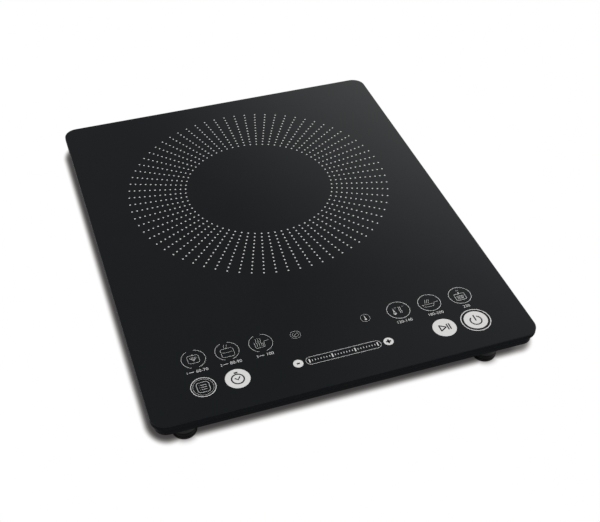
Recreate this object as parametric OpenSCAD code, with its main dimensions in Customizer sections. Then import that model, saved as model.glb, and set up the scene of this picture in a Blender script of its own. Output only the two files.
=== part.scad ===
// Portable induction cooktop: a black glass plate on a shallow plastic housing with four rubber feet.
// +X is the user's right, +Y points to the back, +Z is up. The origin is on the worktop under the centre.

/* [Glass] */
// Width of the glass plate, left to right
glass_w = 280; // [278:1:320]
// Depth of the glass plate, front to back
glass_d = 355; // [353:1:400]
// Thickness of the glass plate
glass_t = 4; // [3:0.5:6]
// Corner radius of the glass plate
glass_r = 11; // [9:1:16]
// Chamfer ground along the edges of the glass
glass_chamfer = 0.6; // [0.2:0.1:1.2]
// Height of the cooking surface above the worktop
total_h = 43.5; // [43:0.5:60]

/* [Glass seal] */
// Thickness of the silicone bead under the glass
seal_t = 0.5; // [0.3:0.1:1]
// Width of the silicone bead
seal_w = 6; // [3:0.5:8]
// Distance from the glass edge to the bead
seal_inset = 5; // [4:0.5:5.5]

/* [Housing] */
// How far the rim stands back from the glass edge
rim_inset = 2.5; // [1.5:0.5:3.5]
// Height of the rim below the seal
rim_h = 6.3; // [5.5:0.1:7]
// Width of the ledge that carries the glass
rim_w = 11; // [10:0.5:12]
// How far the tray stands back from the glass edge, at its top
tray_inset = 4.5; // [4:0.5:5.5]
// Height of the upright band at the top of the tray
tray_band_h = 2; // [2:0.5:4]
// How far the flat bottom stands back from the glass edge
base_inset = 24; // [22:0.5:25]
// Corner radius of the flat bottom
base_r = 14; // [8:1:20]
// Height of the bevel round the flat bottom
base_edge = 1.5; // [0.5:0.5:3]
// Wall thickness of the tray
tray_wall = 2.2; // [1.8:0.1:2.6]
// Depth of the locating tongue of the rim inside the tray
tongue_h = 1.6; // [1:0.2:2]
// Thickness of the locating tongue
tongue_w = 1.2; // [0.8:0.2:2]
// Thickness of the stiffening ribs on the floor
rib_w = 1.6; // [1.2:0.2:2.4]
// Height of the stiffening ribs
rib_h = 4; // [2:0.5:6]

/* [Feet] */
// Radius of a foot where it meets the housing
foot_r = 9; // [7.5:0.5:9.5]
// Radius of the flat underside of a foot
foot_tip_r = 7.2; // [6:0.2:7.2]
// Height of a foot, which is the gap below the housing
foot_h = 7.5; // [6:0.5:7.5]
// Distance from a side edge of the glass to a foot's centre
foot_from_side = 25.4; // [23.5:0.1:27]
// Distance from the front or back edge of the glass to a foot's centre
foot_from_front = 29.5; // [29:0.5:32]

/* [Screws] */
// Shank radius of the housing and foot screws
screw_r = 1.7; // [1.5:0.1:1.9]
// Head radius of the housing and foot screws
screw_head_r = 3.1; // [2.8:0.1:3.3]
// Head height of the housing and foot screws
screw_head_h = 2; // [1.5:0.1:2.4]
// Shank radius of the small screws inside
small_r = 1.2; // [1:0.1:1.4]
// Head radius of the small screws inside
small_head_r = 2.4; // [2.1:0.1:2.7]
// Head height of the small screws inside
small_head_h = 1.4; // [1:0.1:1.6]
// Distance from a glass edge to the housing screws
screw_inset = 18; // [17.5:0.1:18.5]

/* [Vents] */
// Width of a vent slot
slot_w = 3; // [2:0.5:3.5]
// Distance from one vent slot to the next
slot_pitch = 7; // [6:0.5:10]
// Length of an outlet slot, measured across the slope
slot_l = 9; // [6:1:10]
// Radius of the intake grille under the blower
grille_r = 25; // [20:1:28]

/* [Cord inlet] */
// Radius of the cord hole in the grommet
cord_hole_r = 3.6; // [3:0.1:4]
// Radius of the grommet where it sits in the wall
grommet_r = 6; // [5.5:0.1:6.5]
// Distance from the left glass edge to the inlet
inlet_from_side = 45; // [44:1:60]
// Height of the inlet's centre above the worktop
inlet_z = 20; // [19:0.5:21]

/* [Induction coil] */
// Distance from the rear glass edge to the coil carrier
coil_from_back = 38.8; // [38:0.1:40]
// Distance from the front glass edge to the coil carrier, which clears the boards
coil_from_front = 132.2; // [131:0.1:133]
// Radius of the innermost turn
coil_first_r = 23.5; // [23:0.5:25]
// Radius of the stranded coil wire
wire_r = 1.55; // [1.2:0.05:1.6]
// Thickness of the coil carrier
carrier_t = 2; // [1.6:0.2:2.4]
// Thickness of the mica sheet
mica_t = 0.4; // [0.3:0.1:0.8]
// Width of a ferrite bar
ferrite_w = 10; // [8:0.5:11]
// Thickness of a ferrite bar
ferrite_t = 4; // [3:0.5:5]
// How far the screw of a carrier lug stands outside the carrier
lug_reach = 6; // [5:0.5:7]
// Wire radius of a carrier spring
spring_wire_r = 0.6; // [0.4:0.1:0.7]
// Number of turns of a carrier spring
spring_turns = 5; // [4:1:7]

/* [Main board] */
// Width of the main board
board_w = 122; // [121:0.5:124]
// Depth of the main board
board_d = 86; // [85:0.5:88]
// Thickness of the main board
board_t = 1.6; // [1.2:0.2:2]
// Gap between the floor and the main board
board_gap = 5; // [4:0.5:5.5]
// Distance from the left glass edge to the main board
board_from_side = 30; // [29.5:0.1:30.5]
// Distance from the front glass edge to the main board
board_from_front = 39.5; // [39:0.5:41]
// Length of the heat sink
sink_l = 50; // [49:0.5:51]
// Width of the heat sink
sink_w = 34; // [33:0.5:35]
// Height of the heat sink's fins above its base
sink_fin_h = 9; // [6:0.5:12]
// Number of fins
sink_fins = 9; // [7:1:10]

/* [Blower] */
// Radius of the blower wheel
wheel_r = 31.5; // [29:0.5:32.5]
// Height of the blower wheel
wheel_h = 12.4; // [10:0.2:12.8]
// Number of blades
blades = 24; // [16:1:30]
// Gap between the wheel and the scroll at the tongue
scroll_gap = 1.9; // [1:0.1:2.2]
// How much the scroll widens over its turn
scroll_growth = 8; // [6:0.5:9]
// Wall thickness of the scroll, its floor and its cover
scroll_wall = 1.6; // [1.2:0.1:2]
// Gap between the blower's outlet and the main board
outlet_gap = 2; // [1:0.5:4]
// Height of the seat between the floor and the blower
blower_seat = 1.5; // [1:0.5:2]
// Distance from the right glass edge to the wheel's centre
blower_from_side = 74; // [73:0.5:75]
// Distance from the front glass edge to the wheel's centre
blower_from_front = 83.5; // [82:0.5:85]
// Radius of the steel shaft
shaft_r = 1; // [0.8:0.1:1.2]
// Running clearance between the shaft and its bearing, on the radius
shaft_clear = 0.05; // [0.02:0.01:0.1]

/* [Controls] */
// Distance between neighbouring touch keys
key_pitch = 24.3; // [23:0.1:25]
// Distance from the centre line to the first key
key_first = 52; // [50:0.5:53]
// Distance from the front glass edge to the lower row of keys
row_low = 26; // [25.5:0.1:26.5]
// Distance from the front glass edge to the upper row of keys
row_high = 52.7; // [52:0.1:54]
// Distance from the centre line to the minus and plus keys
step_key_x = 33.5; // [33:0.5:36]
// Distance between the touch pads under the slider
slider_pitch = 16.74; // [16:0.02:17]
// Distance from the centre line to the two indicator lamps
lamp_x = 26.4; // [25:0.1:28]
// Thickness of the control board
control_t = 1.2; // [1:0.2:1.6]
// Height of the touch springs between the control board and the glass
touch_h = 4.9; // [4.5:0.1:5]
// Radius of a touch spring
touch_r = 4; // [3:0.5:4.5]

/* [Hidden] */
$fn = 64;
HULL_FN = 32;

// General clearances
fit = 0.05;          // on the radius of a screw in its hole
play = 0.3;          // between pieces that are only located
skin = 0.01;         // thinnest slab used inside a hull
cut = 1;             // how far a cutting body runs past a face

// Heights
floor_z = foot_h;
floor_top = floor_z + tray_wall;
glass_z = total_h - glass_t;
frame_top = glass_z - seal_t;
frame_z = frame_top - rim_h;
band_z = frame_z - tray_band_h;

// The sloping side of the tray: how far it runs inwards while it drops
slope_run = base_inset - tray_inset;
slope_rise = band_z - floor_z;
wall_run = tray_wall * sqrt(pow(slope_run, 2) + pow(slope_rise, 2)) / slope_rise;
function slope_inset(z) = base_inset - (z - floor_z) * slope_run / slope_rise;

// Edges of the glass
front = -glass_d / 2;
back = glass_d / 2;
left = -glass_w / 2;
right = glass_w / 2;

// Housing screws: four corners and the middle of each side
screw_x = glass_w / 2 - screw_inset;
screw_y = glass_d / 2 - screw_inset;
HOUSING_SCREWS = [for (i = [-1:1], j = [-1:1]) if (i != 0 || j != 0) [i * screw_x, j * screw_y]];
boss_r = 5.2;
boss_top = 4;        // plastic above the head of a housing screw
head_room = 0.4;     // round the head of a screw in its recess
recess_r = screw_head_r + head_room;
pilot_depth = 5;     // depth of the screw hole in the rim

// Corner radius where the tongue of the rim fits into the tray, and of the rim's opening
tongue_r_out = 3;
tongue_inset = tray_inset + wall_run + play;

// Ribs on the floor under the coil: where they stand from the zone's centre, and how long they are
rib_x = 42;
rib_y = 34;
rib_l = 176;

// Shallow recess for a plate on the underside, left plain
plate_size = [70, 38];
plate_r = 2;
plate_depth = 0.4;

// Feet
foot_x = glass_w / 2 - foot_from_side;
foot_y = glass_d / 2 - foot_from_front;
foot_round = 2.6;    // height of the rounded lower edge
foot_recess = 4;     // depth of the recess for the screw head
foot_boss_r = 4.6;
foot_boss_h = 8;
foot_screw_l = 11;

// Cord inlet: a pad on the sloping side, and the rubber bush in it
inlet_x = left + inlet_from_side;
inlet_face = back - 11.5;     // outer face of the pad that the grommet sits in
inlet_wall = 3;
inlet_cheek = 2;              // side walls of the pad
inlet_pad = 24;               // width of the pad
inlet_pad_h = 20;
inlet_pad_l = 20;
grommet_flange_t = 2;
grommet_flange_r = grommet_r + 2;
grommet_lip_t = 1.5;
grommet_nose = 4;

// Cooking zone and coil
carrier_r = (glass_d - coil_from_back - coil_from_front) / 2;
zone_y = back - coil_from_back - carrier_r;
mica_z = glass_z - mica_t;
coil_top = mica_z;
coil_z = coil_top - 2 * wire_r;
wire_pitch = 2 * wire_r + 0.05;
lip_w = 1.5;         // raised lip round the carrier
coil_edge = 1;       // least gap between the winding and the lip
coil_turns = 1 + floor((carrier_r - lip_w - coil_edge - wire_r - coil_first_r) / wire_pitch);
coil_out_r = coil_first_r + (coil_turns - 1) * wire_pitch + wire_r;
web_t = 1.2;         // bonding varnish between the turns
carrier_z = coil_z - carrier_t;
hub_r = 20;
hub_hole_r = 7.2;
ring_w = 3;
spoke_w = 15;
spokes = 6;
lip_h = 2;
ferrite_first_r = 24;
ferrite_end_gap = 5; // from the outer end of a ferrite bar to the carrier's ring
ferrite_l = carrier_r - ring_w - ferrite_end_gap - ferrite_first_r;
channel_t = 1.2;     // side walls that grip a ferrite bar
channel_y = ferrite_w / 2 + play + channel_t / 2;
lug_r = 6.5;
lug_hole_r = 3;
lug_from_centre = carrier_r + lug_reach;
LUG_ANGLES = [90, 210, 330];
pin_r = 2.5;
post_r = 5;
spring_r = 3.9;
spring_l = 11.5;
pin_top = carrier_z + carrier_t + play;
carrier_head_r = 4.4;
carrier_head_h = 1.6;
carrier_screw_l = 8;
spring_rings = 12;   // rings of the spring sweep in a turn

// Temperature sensor in the centre of the coil
seat_r = 7;
seat_flange_r = 9;
seat_flange_t = 1.5;
bead_r = 2.6;
bead_t = 0.9;
mica_hole_r = 9;

// Main board
board_x0 = left + board_from_side;
board_y0 = front + board_from_front;
board_z = floor_top + board_gap;
board_top = board_z + board_t;
post_inset = 4;
board_post_r = 3.5;
BOARD_POSTS = [for (x = [post_inset, board_w - post_inset], y = [post_inset, board_d - post_inset])
               [board_x0 + x, board_y0 + y]];
sheet_t = 0.4;
board_screw_l = 5;

// Heat sink with the two power devices lying flat under it
sink_x0 = board_x0 + board_w - 8 - sink_l;
sink_y0 = board_y0 + board_d - 2 - sink_w;
device_h = 4.8;
device_gap = 0.4;    // solder side clearance below a device
sink_z = board_top + device_gap + device_h;
sink_base_t = 2.5;
fin_t = 1.2;
leg_t = 2;
transistor_w = 16;
transistor_d = 21;
bridge_w = 26;
bridge_d = 20;
device_y = sink_y0 + 6;
transistor_x = sink_x0 + 3;
bridge_x = sink_x0 + sink_l - 3 - bridge_w;
tab_hole_y = 4;      // from the back end of a device to its screw
DEVICE_SCREWS = [[transistor_x + transistor_w / 2, device_y + transistor_d - tab_hole_y],
                 [bridge_x + bridge_w / 2, device_y + bridge_d / 2]];
device_screw_l = 5.5;

// Parts on the main board: place from its front left corner, and size
resonant_at = [24, 57.5];
resonant_gap = 6;    // from the capacitor to the heat sink
resonant_size = [sink_x0 - board_x0 - resonant_gap - resonant_at[0], 18, 17];
smoothing_at = [24, 34];
smoothing_end = 62;  // from the capacitor to the board's right end
smoothing_size = [board_w - smoothing_end - smoothing_at[0], 18, 18];
filter_at = [10, 4];
filter_size = [26, 10, 12];
choke_at = [54, 17];
choke_r = 9.5;
choke_hole_r = 5;
choke_h = 8;
choke_wire = 1.1;
transformer_at = [board_w - 24, 4];
transformer_size = [16, 15, 12];
transformer_core_h = 4;
sensor_coil_at = [4, 50];
sensor_coil_size = [14, 12, 13];
sensor_coil_hole_r = 3;
ELECTROLYTICS = [[board_w - 50, 38], [board_w - 38, 38]];
electrolytic_r = 5;
electrolytic_h = 11;
electrolytic_bevel = 0.6;
varistor_at = [14, 33];
varistor_r = 6.2;
varistor_t = 4;
varistor_lift = 8;   // from the board to the disc's centre
fuse_at = [8, 22];
fuse_r = 2.6;
fuse_l = 20;
fuse_cap_l = 5;
fuse_lift = 3;
MAINS_TABS = [[1.5, 11], [1.5, 42]];
tab_size = [0.8, 6.3, 8];
buzzer_at = [board_w - 8, 34];
buzzer_r = 5.5;
buzzer_h = 7;
driver_at = [board_w - 28, 32];
driver_size = [10, 6, 1.6];
driver_pins = 7;
driver_pitch = 1.27;

// Blower
wheel_x = right - blower_from_side;
wheel_y = front + blower_from_front;
outlet_l = wheel_x - board_x0 - board_w - outlet_gap;
blower_z = floor_top + blower_seat;
wheel_z = blower_z + scroll_wall + 1;
cover_z = wheel_z + wheel_h + 0.9;
blower_top = cover_z + scroll_wall;
scroll_start = 165;
scroll_end = 450;
scroll_step = 7.5;
tongue_r = wheel_r + scroll_gap + scroll_wall;
blade_depth = 7.5;
blade_sweep = 11;
blade_t = 0.9;
disc_t = 1.3;
hub_out_r = 15.4;
hub_wall = 1.4;
hub_in_r = hub_out_r - hub_wall;
magnet_t = 1.8;
pole_gap = 0.6;
pole_r = hub_in_r - magnet_t - pole_gap;
bearing_r = 2.8;
tube_r = 4.2;
stator_h = 6;
stator_lift = 4;     // from the underside of the wheel to the stator
tube_z = wheel_z + 3.2;       // lower end of the bearing's tube
inlet_hole_r = 24.5;
ear_r = 4.2;
ear_t = 2;
ear_z = blower_z + 6.5;
ear_reach = 4;       // from the scroll wall to the screw
EAR_ANGLES = [225, 315, 405];
blower_screw_l = 6;
seat_ring_w = 2;

// Control board
control_z = glass_z - touch_h - control_t;
control_top = control_z + control_t;
control_side = 21.5;  // from the glass edge to the board, at its sides
control_reach = 67.5; // and from the front glass edge to its back
control_half_w = right - control_side;
control_gap = 2.5;   // between the rim's ledge and the control board
control_front = front + rim_inset + rim_w + control_gap;
control_back = front + control_reach;
control_notch_x = 10;
control_notch_y = 9;
row_low_y = front + row_low;
row_high_y = front + row_high;
control_post_r = 3;
control_screw_l = 6;
side_post = [25.5, 55.5];  // posts, from the side and from the front glass edge
front_post = [54, 28.5];   // posts, from the centre line and from the front glass edge
back_post = [1, 61.5];     // post, from halfway between board and blower, and from the front
CONTROL_POSTS = [[left + side_post[0], front + side_post[1]], [right - side_post[0], front + side_post[1]],
                 [-front_post[0], front + front_post[1]], [front_post[0], front + front_post[1]],
                 [(board_x0 + board_w + wheel_x - tongue_r) / 2 + back_post[0], front + back_post[1]]];
KEYS = concat(
  [for (s = [-1, 1], i = [0:2]) [s * (key_first + i * key_pitch), row_high_y]],
  [for (s = [-1, 1], i = [1:2]) [s * (key_first + i * key_pitch), row_low_y]],
  [for (s = [-1, 1]) [s * step_key_x, row_low_y]],
  [for (i = [0:3]) [(i - 1.5) * slider_pitch, row_low_y]]);
LAMPS = concat([for (s = [-1, 1]) [s * lamp_x, row_high_y]],
               [for (i = [-1:1]) [i * slider_pitch, row_low_y]]);
slider_spring_r = 2.6;
touch_wire_r = 0.35;
touch_turns = 3;
touch_rings = 8;
lamp_w = 1.8;
lamp_h = 0.8;
guide_w = 9;
guide_hole = 6.4;
touch_chip_x = 34;
touch_chip_y = 8;
touch_chip_size = [10, 10, 1.4];

// Ribbon between the two boards
ribbon_w = 18;
ribbon_t = 0.8;
header_w = 20;
header_d = 5;
header_h = 5;
ribbon_from_end = 39;     // from the board's right end
ribbon_run = 18;          // between the two headers
ribbon_x = board_x0 + board_w - ribbon_from_end;
ribbon_y1 = board_y0 + 4.5;
ribbon_y2 = ribbon_y1 + ribbon_run;
ribbon_z1 = board_top + header_h;
ribbon_z2 = control_z - header_h;
ribbon_bend = min(2.5, (ribbon_z2 - ribbon_z1) / 2 - skin);

// Wires: radii, and routes through points chosen by hand on a grid of route_step
route_step = 1;
lead_r = 1.6;
thin_r = 0.9;
tube_sides = 8;
terminal_gaps = [23, 9];   // from the heat sink to each terminal
terminal_inset = 5;
TERMINALS = [for (gap = terminal_gaps) [sink_x0 - gap, board_y0 + board_d - terminal_inset]];
terminal_r = 3.5;
terminal_h = 6;
terminal_screw_r = 1.9;
terminal_head_r = 3.4;
terminal_head_h = 1.8;
ring_r = 4;
ring_t = 0.8;
ring_z = board_top + terminal_h;
sensor_at = [18, 5];       // headers, from the left and back and from the right and front edges
blower_at = [7, 44];
sensor_header = [board_x0 + sensor_at[0], board_y0 + board_d - sensor_at[1]];
blower_header = [board_x0 + board_w - blower_at[0], board_y0 + blower_at[1]];
small_header = [8, 5, 5.5];
coil_front = [0, zone_y - carrier_r, coil_z];
inner_start = [0, zone_y - coil_first_r, coil_z - lead_r];
outer_start_r = coil_out_r - wire_r;
outer_start_a = 250;
outer_start = [0, zone_y, coil_z - lead_r] + outer_start_r * [cos(outer_start_a), sin(outer_start_a), 0];
lug_end = ring_r - 0.4 * route_step;  // where a lead meets its ring terminal
INNER_LEAD = concat(
  [for (p = [[0, 0, 0], [-1, -4, -2.4], [-3, -10.5, -4.9], [-6, -28.5, -6.9]]) inner_start + p * route_step],
  [for (p = [[-11, 18, -10], [-18, 4, -10], [-30, -2.5, -9.5]]) coil_front + p * route_step],
  [for (p = [[9, 4.4, 4], [3, 4, 2.6], [0.4, 2, 1.8]])
    [TERMINALS[1][0], TERMINALS[1][1] + lug_end, ring_z] + p * route_step],
  [[TERMINALS[1][0], TERMINALS[1][1] + lug_end, ring_z + lead_r]]);
OUTER_LEAD = concat(
  [for (p = [[0, 0, 0], [-1.9, -3.2, -2.4], [-8.4, -6.2, -4.9], [-20.4, -8.7, -5.9]])
    outer_start + p * route_step],
  [[TERMINALS[0][0], TERMINALS[0][1], coil_z] + [9, 13, -9] * route_step],
  [for (p = [[2, 6.4, 4], [0, 2.9, 2.2]])
    [TERMINALS[0][0], TERMINALS[0][1] + lug_end, ring_z] + p * route_step],
  [[TERMINALS[0][0], TERMINALS[0][1] + lug_end, ring_z + lead_r]]);
sensor_start = [0, zone_y, carrier_z - seat_flange_t];
sensor_end = [sensor_header[0], sensor_header[1], board_top + small_header[2]];
SENSOR_LEAD = concat(
  [for (p = [[0, 0, 0], [-1, -1, -3.5], [-5, -5, -6.5], [-14, -16, -8], [-34, -42, -9.5]])
    sensor_start + p * route_step],
  [[0, coil_front[1], carrier_z] + [-60, 20, -11.5] * route_step],
  [for (p = [[8, 12, 3.5], [2, 3, 3.5], [0, 0, 2.5], [0, 0, 0]]) sensor_end + p * route_step]);
blower_end = [blower_header[0], blower_header[1], board_top + small_header[2]];
BLOWER_LEAD = concat(
  [[wheel_x - 34 * route_step, wheel_y - 10 * route_step, blower_top + thin_r],
   [wheel_x - 39 * route_step, wheel_y - 9.5 * route_step, blower_top + thin_r]],
  [for (p = [[-44, -7, -0.5], [-50, -2, -2]]) [wheel_x, wheel_y, blower_top] + p * route_step],
  [for (p = [[4, 1, 3.5], [1, 0, 2.9], [0, 0, 1.7], [0, 0, 0]]) blower_end + p * route_step]);

// ---------------------------------------------------------------- shared shapes

// Outline of the glass moved inwards
module outline(inset, r) {
  w = glass_w - 2 * inset;
  d = glass_d - 2 * inset;
  square([w - 2 * r, d], center = true);
  square([w, d - 2 * r], center = true);
  for (x = [-1, 1], y = [-1, 1])
    translate([x * (w / 2 - r), y * (d / 2 - r)]) circle(r);
}

module slab(inset, r, z0, z1)
  translate([0, 0, z0]) linear_extrude(z1 - z0) outline(inset, r);

// Moves to a point of the plan, at height z
module at(p, z) translate([p[0], p[1], z]) children();

module ring(r_out, r_in, h)
  difference() {
    cylinder(r = r_out, h = h);
    translate([0, 0, -cut]) cylinder(r = r_in, h = h + 2 * cut);
  }

// A box from its lowest corner, with upright corners rounded
module block(size, r = 1)
  linear_extrude(size[2]) {
    translate([r, 0]) square([size[0] - 2 * r, size[1]]);
    translate([0, r]) square([size[0], size[1] - 2 * r]);
    for (x = [r, size[0] - r], y = [r, size[1] - r]) translate([x, y]) circle(r);
  }

// A pan-head screw with a cross recess: the shank points up from its seat at the origin
module screw(r, length, head_r, head_h) {
  cylinder(r = r, h = length);
  difference() {
    translate([0, 0, -head_h]) cylinder(r = head_r, h = head_h);
    for (a = [0, 90]) rotate([0, 0, a])
      translate([-head_r * 0.55, -head_r * 0.12, -head_h - cut])
        cube([head_r * 1.1, head_r * 0.24, cut + head_h * 0.55]);
  }
}

// The same screw driven downwards
module screw_down(r, length, head_r, head_h) mirror([0, 0, 1]) screw(r, length, head_r, head_h);

function unit(v) = v / norm(v);

// A round wire swept through a list of points, ring by ring
module wire(points, r, sides = tube_sides) {
  n = len(points);
  tangent = [for (i = [0:n - 1]) unit(points[min(i + 1, n - 1)] - points[max(i - 1, 0)])];
  side = [for (t = tangent) unit(cross(t, abs(t[2]) > 0.9 ? [0, 1, 0] : [0, 0, 1]))];
  rings = [for (i = [0:n - 1], k = [0:sides - 1])
    let (a = 360 * k / sides, up = cross(side[i], tangent[i]))
      points[i] + r * (cos(a) * side[i] + sin(a) * up)];
  walls = [for (i = [0:n - 2], k = [0:sides - 1], half = [0, 1])
    let (a = i * sides + k, b = i * sides + (k + 1) % sides)
      half == 0 ? [a, b, b + sides] : [a, b + sides, a + sides]];
  ends = [[for (k = [0:sides - 1]) sides - 1 - k], [for (k = [0:sides - 1]) (n - 1) * sides + k]];
  polyhedron(points = rings, faces = concat(walls, ends), convexity = 4);
}

// A smooth curve through hand-placed points (Catmull-Rom), with the given steps between two points
function spline(p, steps) = concat(
  [for (i = [0:len(p) - 2], s = [0:steps - 1])
    let (t = s / steps, a = p[max(i - 1, 0)], b = p[i], c = p[i + 1], d = p[min(i + 2, len(p) - 1)],
         curve = 2 * a - 5 * b + 4 * c - d, twist = 3 * b - a - 3 * c + d)
      0.5 * (2 * b + (c - a) * t + curve * t * t + twist * t * t * t)],
  [p[len(p) - 1]]);

// A coil spring that stands on the origin
module spring(r, wire_radius, height, turns, rings, sides = 6) {
  steps = turns * rings;
  rise = height - 2 * wire_radius;
  wire([for (i = [0:steps]) [r * cos(360 * i / rings), r * sin(360 * i / rings),
                             wire_radius + rise * i / steps]], wire_radius, sides);
}

// ---------------------------------------------------------------- glass and housing

// Glass-ceramic plate with a ground chamfer all round
module glass_plate() color([0.06, 0.07, 0.075]) {
  c = glass_chamfer;
  r = glass_r;
  for (a = [0, 90]) rotate([0, 0, a]) {
    across = (a == 0 ? glass_d : glass_w) / 2;
    along = (a == 0 ? glass_w : glass_d) - 2 * r;
    rotate([90, 0, 90]) linear_extrude(along, center = true)
      for (s = [-1, 1])
        polygon([[0, glass_z], [s * (across - c), glass_z], [s * across, glass_z + c],
                 [s * across, total_h - c], [s * (across - c), total_h], [0, total_h]]);
  }
  for (x = [-1, 1], y = [-1, 1])
    translate([x * (glass_w / 2 - r), y * (glass_d / 2 - r), glass_z])
      rotate_extrude()
        polygon([[0, 0], [r - c, 0], [r, c], [r, glass_t - c], [r - c, glass_t], [0, glass_t]]);
}

module glass_seal() color([0.12, 0.12, 0.12])
  difference() {
    slab(seal_inset, glass_r - seal_inset + 2, frame_top, glass_z);
    slab(seal_inset + seal_w, 2, frame_top - cut, glass_z + cut);
  }

// Rim that carries the glass, with a screw lug over every boss of the tray
module top_frame() color([0.08, 0.085, 0.095])
  difference() {
    union() {
      difference() {
        slab(rim_inset, glass_r - rim_inset, frame_z, frame_top);
        slab(rim_inset + rim_w, tongue_r_out, frame_z - cut, frame_top + cut);
      }
      difference() {
        slab(tongue_inset, tongue_r_out, frame_z - tongue_h, frame_z);
        slab(tongue_inset + tongue_w, tongue_r_out - 1, frame_z - tongue_h - cut, frame_z + cut);
      }
      for (p = HOUSING_SCREWS) translate([0, 0, frame_z]) {
        at(p, 0) cylinder(r = boss_r, h = rim_h);
        lug_bridge(p, rim_h);
      }
    }
    for (p = HOUSING_SCREWS)
      at(p, frame_z - cut) cylinder(r = screw_r + fit, h = pilot_depth + cut);
  }

// Joins a screw lug to the ledge beside it
module lug_bridge(p, h) {
  reach = screw_inset - rim_inset - rim_w + 1;
  if (p[0] != 0)
    translate([p[0] + (p[0] > 0 ? 0 : -reach), p[1] - boss_r, 0]) cube([reach, 2 * boss_r, h]);
  if (p[1] != 0)
    translate([p[0] - boss_r, p[1] + (p[1] > 0 ? 0 : -reach), 0]) cube([2 * boss_r, reach, h]);
}

module tray_outer()
  hull() {
    slab(tray_inset, glass_r - tray_inset, band_z, frame_z, $fn = HULL_FN);
    edge_z = floor_z + base_edge;
    slab(slope_inset(edge_z), base_r, edge_z, edge_z + skin, $fn = HULL_FN);
    slab(base_inset + base_edge, base_r, floor_z, floor_z + skin, $fn = HULL_FN);
  }

module tray_inner()
  hull() {
    slab(tray_inset + wall_run, tongue_r_out, band_z, frame_z + cut, $fn = HULL_FN);
    slab(slope_inset(floor_top) + wall_run, base_r - 2, floor_top, floor_top + skin, $fn = HULL_FN);
  }

// Slots cut through the sloping side from below, left out where a screw boss or the inlet stands
module outlet_slots() {
  keep = boss_r + slot_w;
  rear_span = screw_x - boss_r - slot_w - 6;
  for (x = [-floor(rear_span / slot_pitch):floor(rear_span / slot_pitch)])
    if (abs(x * slot_pitch) > keep && x * slot_pitch > inlet_x + inlet_pad / 2 + slot_w)
      translate([x * slot_pitch - slot_w / 2, back - 10 - slot_l, -cut]) cube([slot_w, slot_l, frame_z]);
  side_span = 100;
  for (s = [-1, 1], y = [-6:floor(side_span / slot_pitch)])
    if (abs(y * slot_pitch) > keep)
      translate([s * (glass_w / 2 - 10 - slot_l / 2) - slot_l / 2, y * slot_pitch - slot_w / 2, -cut])
        cube([slot_l, slot_w, frame_z]);
}

// The pad's block, drawn in by d on its sides, up to the given face
module inlet_box(d, face)
  translate([inlet_x - inlet_pad / 2 + d, inlet_face - inlet_pad_l + d, inlet_z - inlet_pad_h / 2 + d])
    cube([inlet_pad - 2 * d, face - inlet_face + inlet_pad_l - d, inlet_pad_h - 2 * d]);

// Slots of the intake grille, trimmed to a circle
module intake_slots()
  intersection() {
    translate([wheel_x, wheel_y, -cut]) cylinder(r = grille_r, h = floor_top + 2 * cut);
    for (i = [-floor(grille_r / slot_pitch):floor(grille_r / slot_pitch)])
      translate([wheel_x + i * slot_pitch - slot_w / 2, wheel_y - grille_r - cut, -cut])
        cube([slot_w, 2 * (grille_r + cut), floor_top + 2 * cut]);
  }

// Posts on the floor, from the floor's underside so that they join it
module post(p, r, top) {
  root = floor_z + tray_wall / 2;
  at(p, root) cylinder(r = r, h = top - root);
}

module pilot(p, r, top, depth) at(p, top - depth) cylinder(r = r, h = depth + cut);

// Centres of the blower's ears and of the carrier's lugs
function ear(a) = [wheel_x, wheel_y] + (scroll_radius(a) + ear_reach) * [cos(a), sin(a)];
function lug(a) = [0, zone_y] + lug_from_centre * [cos(a), sin(a)];

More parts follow.
